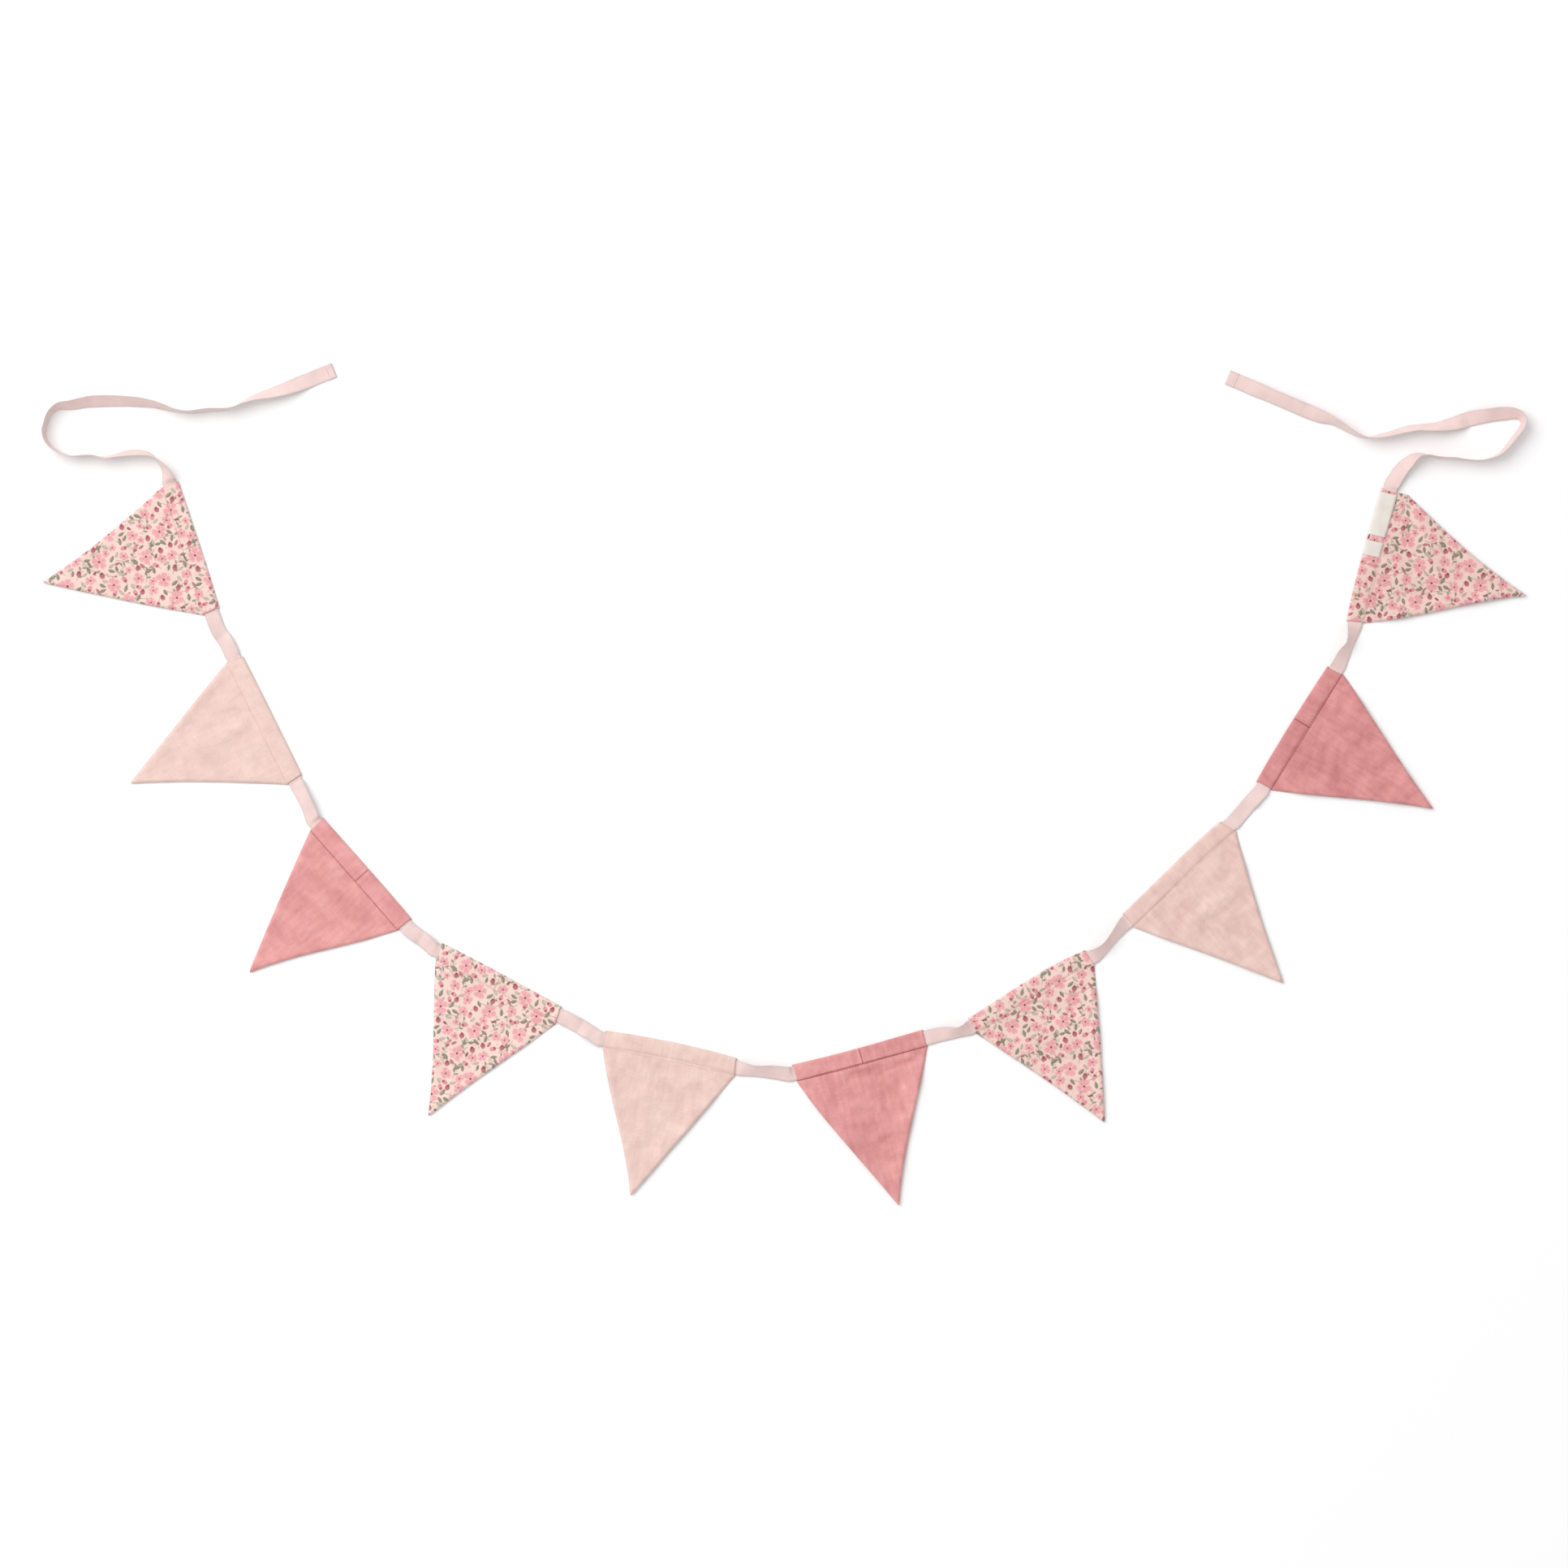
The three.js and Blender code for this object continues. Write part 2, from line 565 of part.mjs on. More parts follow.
// Even samples of the route, each with its place, level direction, roll and width
function tapeStations() {
  const route = tapeRoute();
  const line = new THREE.CatmullRomCurve3(
    route.map(({ x, y, lift }) => new THREE.Vector3(x, y, lift)), false, "centripetal");
  const twist = new THREE.CatmullRomCurve3(
    route.map(({ roll }) => new THREE.Vector3(roll, 0, 0)), false, "catmullrom", 0.5);
  const stations = [];
  for (let i = 0; i + 1 < route.length; i += 1) {
    const here = route[i];
    const next = route[i + 1];
    const steps = Math.max(1, Math.round(Math.hypot(next.x - here.x, next.y - here.y) / here.step));
    const last = i + 2 === route.length ? 1 : 0;
    for (let j = 0; j < steps + last; j += 1) {
      const t = (i + j / steps) / (route.length - 1);
      const place = line.getPoint(t);
      const way = line.getTangent(t);
      stations.push({
        place,
        way: new THREE.Vector2(way.x, way.y).normalize(),
        roll: THREE.MathUtils.degToRad(twist.getPoint(t).x),
        width: here.width + ((next.width - here.width) * j) / steps,
      });
    }
  }
  let travelled = 0;
  stations.forEach((station, i) => {
    travelled += i > 0 ? station.place.distanceTo(stations[i - 1].place) : 0;
    station.travelled = travelled;
  });
  const whole = travelled;
  stations.forEach((station) => {
    const fromEnd = Math.min(station.travelled, whole - station.travelled);
    station.thickness = fromEnd < hemLength ? hemThickness : tapeThickness;
  });
  return stations;
}

// The tape: a flat band, turned by its roll and standing on whatever edge is lowest
function makeTape() {
  const corners = [[-0.5, -0.5], [0.5, -0.5], [0.5, 0.5], [-0.5, 0.5]];
  const section = corners.map(([across, through]) => new THREE.Vector2(across, through));
  const solid = sweep(section, tapeStations(), (corner, { place, way, roll, width, thickness }) => {
    const across = corner.x * width;
    const through = corner.y * thickness;
    const sideways = across * Math.cos(roll) - through * Math.sin(roll);
    const up = across * Math.sin(roll) + through * Math.cos(roll);
    const rest = (width * Math.abs(Math.sin(roll)) + thickness * Math.abs(Math.cos(roll))) / 2;
    return new THREE.Vector3(
      place.x - way.y * sideways,
      place.y + way.x * sideways,
      Math.max(place.z, 0) + rest + up,
    );
  });
  const positions = solid.points.flatMap((p) => [p.x, p.y, p.z]);
  return meshOf("ribbon", "tape", toGeometry(positions, solid.faces.flat()));
}

const bunting = new THREE.Group();
bunting.add(makeTape());
for (const pennant of pennants) {
  const place = new THREE.Group();
  place.position.set(pennant.x, pennant.y, 0);
  place.rotation.z = THREE.MathUtils.degToRad(pennant.heading);
  place.add(makePennant(pennant));
  if (pennant.name === "flag_10") {
    for (const label of labels) {
      place.add(makeLabel(label, pennant));
    }
  }
  bunting.add(place);
}

export default bunting;
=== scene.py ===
"""A fabric bunting of ten sewn pennants on one cotton tape, laid flat and seen from straight above."""

import math
from functools import partial

import bmesh
import bpy
import numpy as np
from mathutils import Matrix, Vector, noise


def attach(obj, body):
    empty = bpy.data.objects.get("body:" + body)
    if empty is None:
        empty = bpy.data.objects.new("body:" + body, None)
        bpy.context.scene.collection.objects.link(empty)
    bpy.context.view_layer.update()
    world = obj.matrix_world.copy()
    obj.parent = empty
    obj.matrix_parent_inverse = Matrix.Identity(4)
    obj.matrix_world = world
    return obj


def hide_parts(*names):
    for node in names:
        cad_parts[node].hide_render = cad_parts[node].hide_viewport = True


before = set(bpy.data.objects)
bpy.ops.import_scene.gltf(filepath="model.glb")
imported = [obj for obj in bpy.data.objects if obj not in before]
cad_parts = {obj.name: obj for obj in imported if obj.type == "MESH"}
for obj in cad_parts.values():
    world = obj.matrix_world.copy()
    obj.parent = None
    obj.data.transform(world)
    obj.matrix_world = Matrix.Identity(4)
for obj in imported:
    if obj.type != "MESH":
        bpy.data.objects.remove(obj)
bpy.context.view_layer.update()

# Sizes are in millimetres until a mesh is made, and colours are 0 to 255 as seen.
# On a pennant, u runs along its top edge and v from the fold of that edge to the tip.
TAPE_WIDTH = 15.0
TAPE_IN_CHANNEL = 13.9
TAPE_THICKNESS = 0.8
TAPE_DEPTH = 8.1
TAPE_LIFT = 1.1
HEM_LENGTH = 9.0
HEM_THICKNESS = 1.6
HEM_STITCHES_FROM = 1.6
HEM_STITCHES_REACH = 6.6
SEAM_STITCHES_FROM = 1.5
STITCHES_UP = 0.02
STRAIGHT_RUN = 3.5
MOUTH_CLEARANCE = 1.5

SEAM_ROW = 16.9
BULGE_REACH = 70.0
EDGE_INSET = 0.3
EDGE_OUT = 0.7
EDGE_HEIGHT = 0.46
SIDE_SLANT = 0.93
SOLE_OUT = 0.35
TIP_INSET = 0.8
TIP_HEIGHT = 2.3
MOUTH_FROM = 0.9
MOUTH_TO = 15.1
TUNNEL_ROOF = 2.5
TUNNEL_FLOOR = 0.7
TUNNEL_INSET = 0.75
TUNNEL_POINTS = 12
TUNNEL_RINGS = 12

LABEL_GAP = 0.32
LABEL_THICKNESS = 0.42
LABEL_STITCHES_FROM = 0.8
LABEL_STITCHES_UP = 0.78
LABEL_SEAM_GAP = 1.3

# Steps between the points of the meshes, and columns of points at the sides and at the tack
PLAIN_SPACING = 1.2
PRINT_SPACING = 0.62
SOLE_SPACING = 1.6
PRINT_SOLE_SPACING = 1.1
TAPE_SPACING = 1.6
SIDE_COLUMNS = np.array([0, 0.45, 1.1])
INNER_FROM = 1.9
NARROW_ROW = 9
TACK_COLUMNS = np.array([-0.7, -0.25, 0.02, 0.3, 0.75])

# One unit of a cloth's map
MAP_SIZE = 100

# Stitches: pitch, length and radius of the thread
SEAM_STITCH = (3.1, 2.5, 0.22)
TACK_STITCH = (1.9, 1.6, 0.24)
HEM_STITCH = (2.6, 2.1, 0.22)
LABEL_STITCH = (2.4, 1.9, 0.18)

# Each pennant: place and heading of its top edge, outline, bulges of its edges at one third and two thirds,
# depth of the seam and place of the tack
PENNANT_COLUMNS = (
    "name", "cloth", "x", "y", "heading", "length", "mouth_start", "mouth_end", "corner_end", "tip",
    "top_bulge", "start_bulge", "end_bulge", "seam", "tack",
)
PENNANT_ROWS = [
    ("flag_01", "floral", -604.7, 301.1, -72.0, 131.7, 0.6, 133.4, (133.4, 17), (53.4, 158.5),
     (0.5, 0.5), (-2.9, -3.4), (1.0, 0.8), 16.4, 66.0),
    ("flag_02", "blush", -540.1, 126.4, -63.5, 130.8, -1.7, 133.0, (132.9, 17), (62.4, 155.7),
     (0.3, 0.2), (0.3, 0.0), (-2.3, -2.5), 16.5, 73.0),
    ("flag_03", "rose", -460.3, -34.2, -48.8, 133.5, 1.5, 132.9, (132.9, 17), (67.6, 155.5),
     (0.2, 0.4), (0.8, 0.8), (-0.2, -2.3), 17.3, 68.7),
    ("flag_04", "floral", -341.0, -159.6, -28.0, 134.0, 2.0, 136.9, (136.9, 17), (68.5, 157.2),
     (0.6, 0.4), (-1.0, -2.2), (-0.6, -1.4), 16.3, 67.0),
    ("flag_05", "blush", -177.2, -246.9, -11.9, 132.4, 0.5, 134.2, (133.9, 17), (57.6, 154.7),
     (2.0, 2.2), (0.3, -2.0), (0.2, 0.0), 15.9, 67.0),
    ("flag_06", "rose", 8.9, -280.7, 15.0, 133.8, 0.4, 134.0, (133.5, 17), (66.0, 161.6),
     (-1.2, -0.9), (2.0, 0.8), (-1.3, -3.2), 16.2, 68.0),
    ("flag_07", "floral", 184.5, -234.4, 30.3, 134.2, -0.2, 135.4, (134.3, 17), (64.8, 156.3),
     (1.8, 2.9), (-1.6, -1.9), (0.8, 0.8), 15.8, 66.0),
    ("flag_08", "blush", 338.7, -129.8, 43.4, 133.1, -1.1, 138.0, (137.9, 17), (68.6, 158.9),
     (0.4, 1.2), (-0.8, -1.2), (-2.2, -2.3), 15.8, 66.5),
    ("flag_09", "rose", 472.2, 2.5, 58.3, 134.1, 0.9, 135.2, (132.4, 23.9), (69.0, 162.8),
     (1.2, 1.0), (-0.4, -1.8), (-0.8, -1.5), 16.0, 73.0),
    ("flag_10", "floral", 562.0, 162.8, 75.2, 136.2, 2.8, 136.0, (136.5, 26.1), (69.9, 165.5),
     (1.5, 0.8), (1.0, -1.4), (-4.0, -4.4), 16.4, 60.0),
]
PENNANTS = [dict(zip(PENNANT_COLUMNS, row)) for row in PENNANT_ROWS]

# How each pennant's cloth lies and shows: darkness of the painted shade along the seam and along the tack
# (below nothing, a painted highlight; the tack's size also sets its dip), depth of its patches of painted
# crease shade, tone, which paints the fall of light along the row, and how far its two sides stand off the
# surface
STATE_COLUMNS = ("seam", "tack", "shade_patches", "tone", "lift")
STATE_ROWS = {
    "flag_01": (0.2, 0.3, 0.03, 1.0, (0.6, 1.2)),
    "flag_02": (0.07, 0.0, 0.055, 0.97, (0.4, 0.8)),
    "flag_03": (0.34, 0.5, 0.15, 0.99, (0.4, 1.4)),
    "flag_04": (0.2, 0.32, 0.03, 1.03, (0.4, 1.2)),
    "flag_05": (0.13, -0.07, 0.085, 0.965, (0.6, 2.0)),
    "flag_06": (0.6, 0.5, 0.2, 0.92, (2.0, 2.6)),
    "flag_07": (0.22, 0.32, 0.04, 0.96, (1.6, 2.2)),
    "flag_08": (0.18, 0.03, 0.11, 0.91, (2.0, 2.2)),
    "flag_09": (0.62, 0.55, 0.2, 0.83, (2.6, 3.0)),
    "flag_10": (0.22, 0.32, 0.04, 0.91, (3.2, 2.0)),
}
CLOTH_STATES = {name: dict(zip(STATE_COLUMNS, row)) for name, row in STATE_ROWS.items()}

# Painted shade is redder than the cloth, so it takes less from the red
SHADE_BY_CHANNEL = np.array([0.7, 1.15, 1.1])

# Troughs and ridges of each pennant: start u, v, end u, v, rise, spread
CREASES = {
    "flag_01": [(96, 30, 70, 96, -0.4, 8)],
    "flag_02": [(48, 30, 46, 52, -0.9, 7), (20, 40, 38, 76, -0.6, 9), (60, 34, 62, 84, 0.5, 9)],
    "flag_03": [(110, 34, 109, 56, -0.7, 6), (36, 74, 70, 64, -0.8, 7), (60, 86, 78, 76, 0.5, 8)],
    "flag_04": [(34, 60, 92, 44, 0.4, 10)],
    "flag_05": [
        (54, 24, 57, 116, 0.5, 8), (28, 40, 90, 46, -0.8, 7), (14, 20, 18, 44, -0.5, 5),
        (104, 22, 104, 48, -0.5, 5),
    ],
    "flag_06": [(50, 26, 114, 26, -0.8, 4), (78, 32, 78, 66, -0.6, 6), (40, 100, 76, 99, -0.7, 7)],
    "flag_07": [(56, 46, 72, 88, -0.4, 9)],
    "flag_08": [(24, 42, 46, 38, -0.6, 7), (44, 52, 98, 54, 0.6, 7), (48, 64, 94, 72, -0.7, 6)],
    "flag_09": [(44, 54, 64, 46, -0.8, 8), (42, 69, 92, 68, -0.6, 7), (54, 112, 78, 112, -0.6, 7)],
    "flag_10": [(88, 40, 66, 92, 0.4, 10)],
}

# Route of the tape: x, y and roll
LEFT_TIE = [
    (-449, 413, 0), (-463, 407.5, 0), (-478, 401.5, 4), (-498, 394, 32), (-515, 389, 50),
    (-528, 385.5, 68), (-540, 380.5, 81), (-555, 374, 95), (-570, 373, 103), (-583, 372, 101),
    (-595, 371, 97), (-609, 373, 99), (-619, 376, 109), (-630, 379, 118), (-645, 381, 127),
    (-661, 382, 133), (-682, 382, 138), (-696, 381, 135), (-711, 378, 127), (-724, 376.5, 116),
    (-732, 370, 107), (-736, 361, 103), (-738, 352, 102), (-736, 343, 99), (-730, 335.5, 97),
    (-721, 330, 95), (-711, 327, 92), (-699, 327, 84), (-689, 327.5, 88), (-678, 325.5, 97),
    (-665, 328, 107), (-654, 330, 114), (-643, 330.5, 114), (-634, 329, 104), (-628, 325.5, 90),
    (-621.2, 319.2, 74), (-616, 311, 54),
]
RIGHT_TIE = [
    (612.5, 308.5, -18), (617, 315, -28), (622.5, 320.5, -40), (628, 325.5, -56), (635, 328.5, -78),
    (643, 328, -90), (653, 325.5, -95), (668, 325, -93), (680, 323.5, -90), (692, 322.5, -90),
    (705, 325, -87), (714, 329, -82), (721, 336, -78), (728, 345, -75), (735, 354, -74),
    (738, 361, -71), (735, 367, -60), (728, 369.5, -45), (717, 369.5, -31), (701, 367.5, -24),
    (685, 364.5, -4), (670, 360, 26), (656, 357, 48), (646, 356, 57), (633, 355.5, 63),
    (620, 353.5, 64), (606, 349.5, 70), (594, 347, 76), (583, 345.5, 88), (575, 347, 98),
    (566, 351.5, 106), (556, 357.5, 112), (547, 362.5, 121), (536, 366.5, 146), (522, 372, 158),
    (505, 379.3, 155), (482, 389, 157), (464, 396.8, 173), (455, 400.8, 180), (443, 406, 180),
]

# How the tape lies after each pennant: share of the gap, shift to the left and roll
GAP_SHAPES = {
    "flag_01": [(0.36, -1.2, -8), (0.7, 0.3, 9)],
    "flag_02": [(0.3, 0.4, 24), (0.68, 0.7, 28)],
    "flag_03": [(0.36, 0.2, -6), (0.68, 0.5, 14)],
    "flag_04": [(0.33, 0.6, 6), (0.68, 0.9, -16)],
    "flag_05": [(0.28, -0.7, 40), (0.64, 0.2, 26)],
    "flag_06": [(0.34, 0.2, 14), (0.74, -1.5, 45)],
    "flag_07": [(0.29, -2.1, 47), (0.68, -1.1, 43)],
    "flag_08": [(0.34, 0.0, 5), (0.68, 0.3, -6)],
    "flag_09": [(0.32, -0.7, 30), (0.62, -2.4, 52)],
}

# Labels on the last pennant: from and to along its top edge, and how far the seam edge is shifted
LABELS = [
    ("label_small", 68.5, 83.2, 0.6),
    ("label_long", 89.4, 133.2, 0.4),
]

# The print repeats every 96 by 88 mm
REPEAT = (96.0, 88.0)
# Flowers: x, y, radius, turn
BLOOMS = [
    (10, 9, 7.9, 10), (56, 7, 7.5, 40), (43, 31, 8.1, 20), (90, 33, 7.6, 60), (9, 57, 7.5, 30),
    (54, 58, 8.0, 5), (22, 78, 7.6, 50), (69, 78, 7.9, 25), (33, 13, 5.4, 0), (81, 12, 5.8, 35),
    (20, 33, 5.6, 15), (68, 35, 5.0, 50), (31, 54, 5.2, 25), (78, 55, 5.9, 10), (44, 80, 5.5, 40),
    (92, 75, 5.3, 5), (95, 87, 5.4, 22), (10, 30, 5.2, 44), (17, 68, 4.9, 8), (40, 51, 4.7, 33),
    (95, 8, 4.6, 0), (72, 21, 3.9, 0), (36, 66, 3.8, 20), (86, 64, 3.7, 30), (57, 44, 3.9, 12),
    (50, 39, 4.0, 60), (86, 50, 4.0, 18),
]
# Strawberries: x, y, size, turn
BERRIES = [
    (45, 17, 3.1, 10), (22, 20, 2.9, -15), (9, 38, 3.1, 20), (68, 64, 3.0, 15), (38, 43, 2.8, -12),
    (84, 86, 2.9, -20), (93, 51, 2.9, 5), (8, 79, 2.8, 25), (24, 0, 2.9, -8), (19, 43, 2.8, 14),
    (81, 22, 2.7, -10),
]
# Buds: x, y, size, turn
BUDS = [
    (67, 12, 2.7, 120), (29, 41, 2.7, 200), (80, 42, 2.6, 80), (20, 62, 2.7, 30), (45, 69, 2.7, 300),
    (57, 87, 2.6, 60), (3, 24, 2.7, 150), (95, 62, 2.6, 10), (33, 86, 2.6, 240), (32, 5, 2.5, 70),
    (68, 43, 2.6, 190), (77, 86, 2.5, 110), (81, 3, 2.5, 330), (3, 72, 2.6, 260), (50, 70, 2.4, 20),
]
# Leaves of each tone: x, y, length, turn
LEAVES = {
    "sage": [
        (21, 5, 6.8, 35), (1, 19, 6.2, 100), (45, 7, 6.4, -30), (68, 3, 6.6, 70), (92, 19, 6.8, 20),
        (32, 23, 6.6, 110), (55, 21, 6.4, -20), (56, 33, 6.6, 60), (79, 29, 6.4, 130), (31, 33, 6.0, 10),
        (12, 46, 6.8, -40), (43, 45, 6.4, 25), (65, 50, 6.6, 100), (42, 58, 6.4, -70), (67, 57, 6.0, 30),
        (21, 50, 6.0, 80), (84, 74, 6.6, -25), (80, 81, 6.8, 60), (57, 71, 6.6, 15), (34, 78, 6.4, 95),
        (11, 84, 6.2, -60), (96, 45, 6.4, 75), (45, 2, 6.2, 20), (70, 53, 6.0, 60), (19, 56, 6.2, -35),
        (60, 23, 5.8, 100), (78, 73, 5.8, -50), (7, 45, 5.6, 10), (33, 29, 5.6, -60), (16, 21, 5.4, 80),
    ],
    "grey": [
        (26, 9, 6.2, -50), (63, 18, 6.2, 140), (14, 25, 5.8, 20), (50, 45, 6.4, -30), (74, 46, 6.2, 20),
        (37, 60, 6.0, 60), (2, 47, 5.8, 110), (51, 75, 5.8, 160), (78, 68, 6.0, -10), (6, 68, 5.8, 40),
        (89, 3, 6.0, 15), (75, 4, 5.6, -60), (55, 26, 6.0, 35), (48, 11, 5.8, -15), (63, 87, 5.8, 130),
        (61, 37, 5.6, 70), (42, 65, 5.6, -40), (28, 19, 5.4, 30),
    ],
    "rose": [
        (86, 24, 5.8, -45), (25, 45, 5.6, 60), (61, 28, 5.4, 15), (12, 64, 5.4, -20), (61, 68, 5.6, 75),
        (40, 2, 5.4, 120), (86, 43, 5.4, 30),
    ],
    "wine": [
        (38, 20, 4.6, 50), (75, 62, 4.6, -35), (4, 33, 4.4, 80), (27, 68, 4.6, 10),
    ],
}
# Branches: start x, y, end x, y, bend, number of leaf pairs
BRANCHES = [
    (19, 14, 30, 27, 2.5, 3), (63, 12, 66, 28, -2.0, 2), (77, 21, 83, 47, 3.0, 4),
    (24, 58, 30, 73, -2.5, 3), (48, 50, 34, 38, 2.5, 2), (62, 66, 60, 84, 2.2, 3),
    (84, 57, 95, 68, -2.0, 2), (3, 28, 2, 46, 2.0, 3), (50, 87, 39, 71, -2.5, 3), (88, 8, 96, 24, 2.2, 3),
    (12, 86, 46, 90, -4.0, 3), (60, 32, 92, 14, 4.0, 4), (26, 34, 60, 14, -4.5, 4),
    (4, 50, 46, 46, 5.0, 4), (60, 92, 94, 78, -4.0, 3), (50, 62, 90, 68, 4.0, 4),
    (14, 66, 30, 92, 3.5, 3),
]
# Dots: x, y
DOTS = [
    (28, 2), (51, 16), (38, 37), (75, 33), (98, 12), (15, 41), (62, 50), (24, 69), (50, 66), (88, 56),
    (83, 36), (5, 80), (33, 46), (72, 28), (14, 18), (72, 66), (59, 15), (88, 81),
]
# Shift and turn of the print on each printed pennant
PRINT_PLACES = {
    "flag_01": (31.0, 17.0, 4.0),
    "flag_04": (64.0, 52.0, -6.0),
    "flag_07": (12.0, 71.0, 7.0),
    "flag_10": (83.0, 36.0, -3.0),
}

PRINT = {
    "ground": (248, 219, 208), "petal": (243, 176, 181), "petal_edge": (248, 198, 198),
    "petal_line": (230, 148, 156), "pollen": (251, 212, 200), "heart": (150, 72, 82),
    "sage": (148, 141, 124), "sage_light": (180, 173, 153), "grey": (204, 195, 177),
    "grey_light": (222, 213, 195), "rose": (200, 122, 126), "rose_light": (230, 164, 163),
    "wine": (162, 96, 100), "wine_light": (204, 136, 137), "berry": (182, 104, 112),
    "berry_light": (214, 140, 144), "bud": (220, 134, 142), "bud_light": (244, 180, 183),
    "stem": (198, 166, 150), "dot": (160, 98, 98),
}


def linear(colour):
    """The 0 to 255 colour as the renderer's own values."""
    share = np.asarray(colour, dtype=float) / 255
    return np.where(share <= 0.04045, share / 12.92, ((share + 0.055) / 1.055) ** 2.4)


def smooth(low, high, value):
    """A soft step from 0 at low to 1 at high."""
    share = np.clip((value - low) / (high - low), 0, 1)
    return share * share * (3 - 2 * share)


def hump(distance, width):
    """1 on a line, and falling to nothing at about twice the width from it."""
    return np.exp(-((distance / width) ** 2))


def seed_of(pennant):
    """The pennant's number, which gives it noise of its own."""
    return float(pennant["name"][-2:])


def noise_field(u, v, size, seed):
    """Smooth noise from -1 to 1 at each local place."""
    return np.array([noise.noise(Vector((a, b, seed))) for a, b in zip(u / size, v / size)])


# Outline of a pennant
def bulge(share, pair):
    """How far an edge bulges at a share of its length, from its bulges at one third and two thirds."""
    first = 13.5 * share * (share - 2 / 3) * (share - 1)
    second = -13.5 * share * (share - 1 / 3) * (share - 1)
    return pair[0] * first + pair[1] * second


def fold_shift(pennant, u):
    """How far v is shifted at that u, because the top edge bulges."""
    return -bulge(u / pennant["length"], pennant["top_bulge"])


def start_side(pennant, v):
    """The u of the first side at a depth: along the mouth, and then to the tip."""
    from_u = pennant["mouth_start"]
    if v <= SEAM_ROW:
        return from_u * v / SEAM_ROW
    tip_u, tip_v = pennant["tip"]
    share = (v - SEAM_ROW) / (tip_v - SEAM_ROW)
    return from_u + (tip_u - from_u) * share - bulge(share, pennant["start_bulge"])


def end_side(pennant, v):
    """The u of the last side at a depth: along the mouth, to the corner under it, and then to the tip."""
    length, from_u = pennant["length"], pennant["mouth_end"]
    corner_u, corner_v = pennant["corner_end"]
    tip_u, tip_v = pennant["tip"]
    if v <= SEAM_ROW:
        return length + (from_u - length) * v / SEAM_ROW
    if v <= corner_v:
        return from_u + (corner_u - from_u) * (v - SEAM_ROW) / (corner_v - SEAM_ROW)
    share = (v - corner_v) / (tip_v - corner_v)
    return corner_u + (tip_u - corner_u) * share + bulge(share, pennant["end_bulge"])


def sides_at(pennant, depths):
    """The u of both sides at each depth, as two arrays."""
    return [np.array([side(pennant, v) for v in depths]) for side in (start_side, end_side)]


def bulge_fade(v):
    """How much of the top edge's bulge is left at a depth."""
    return np.clip((BULGE_REACH - v) / (BULGE_REACH - SEAM_ROW), 0, 1)


def to_world(pennant, u, v):
    """Places of local points on the surface, as two arrays."""
    turn = math.radians(pennant["heading"])
    x = pennant["x"] + u * math.cos(turn) + v * math.sin(turn)
    y = pennant["y"] + u * math.sin(turn) - v * math.cos(turn)
    return x, y


# Heights of the upper face
def channel_profile(seam):
    """Height across the channel and its seam, every 0.1 mm from the fold, with soft corners."""
    rows = [
        (0.0, 2.3), (0.4, 2.7), (1.0, 3.05), (2.2, 3.3), (4.5, 3.42), (8.0, 3.45), (12.0, 3.4),
        (seam - 2.4, 3.3), (seam - 1.2, 3.02), (seam - 0.5, 2.5), (seam, 2.1), (seam + 0.4, 2.25),
        (seam + 1.2, 2.52), (seam + 2.5, 2.6), (seam + 6.0, 2.45), (seam + 12.0, 2.25), (200.0, 2.25),
    ]
    depths = np.arange(0, 200, 0.1)
    heights = np.interp(depths, *zip(*rows))
    reach = 8
    kernel = hump(np.arange(-reach, reach + 1), 3.2)
    padded = np.pad(heights, reach, mode="edge")
    return depths, np.convolve(padded, kernel / kernel.sum(), mode="valid")


def crease_rise(pennant, u, v):
    """Rise of the troughs and ridges, whose lines wander a little."""
    rise = np.zeros_like(u)
    wander = 4.5 * noise_field(u, v, 13, seed_of(pennant) + 0.1)
    for u0, v0, u1, v1, height, spread in CREASES[pennant["name"]]:
        run = np.array([u1 - u0, v1 - v0], dtype=float)
        share = np.clip(((u - u0) * run[0] + (v - v0) * run[1]) / run.dot(run), 0, 1)
        away = np.hypot(u + wander - u0 - share * run[0], v + wander - v0 - share * run[1])
        rise += height * hump(away, spread)
    return rise


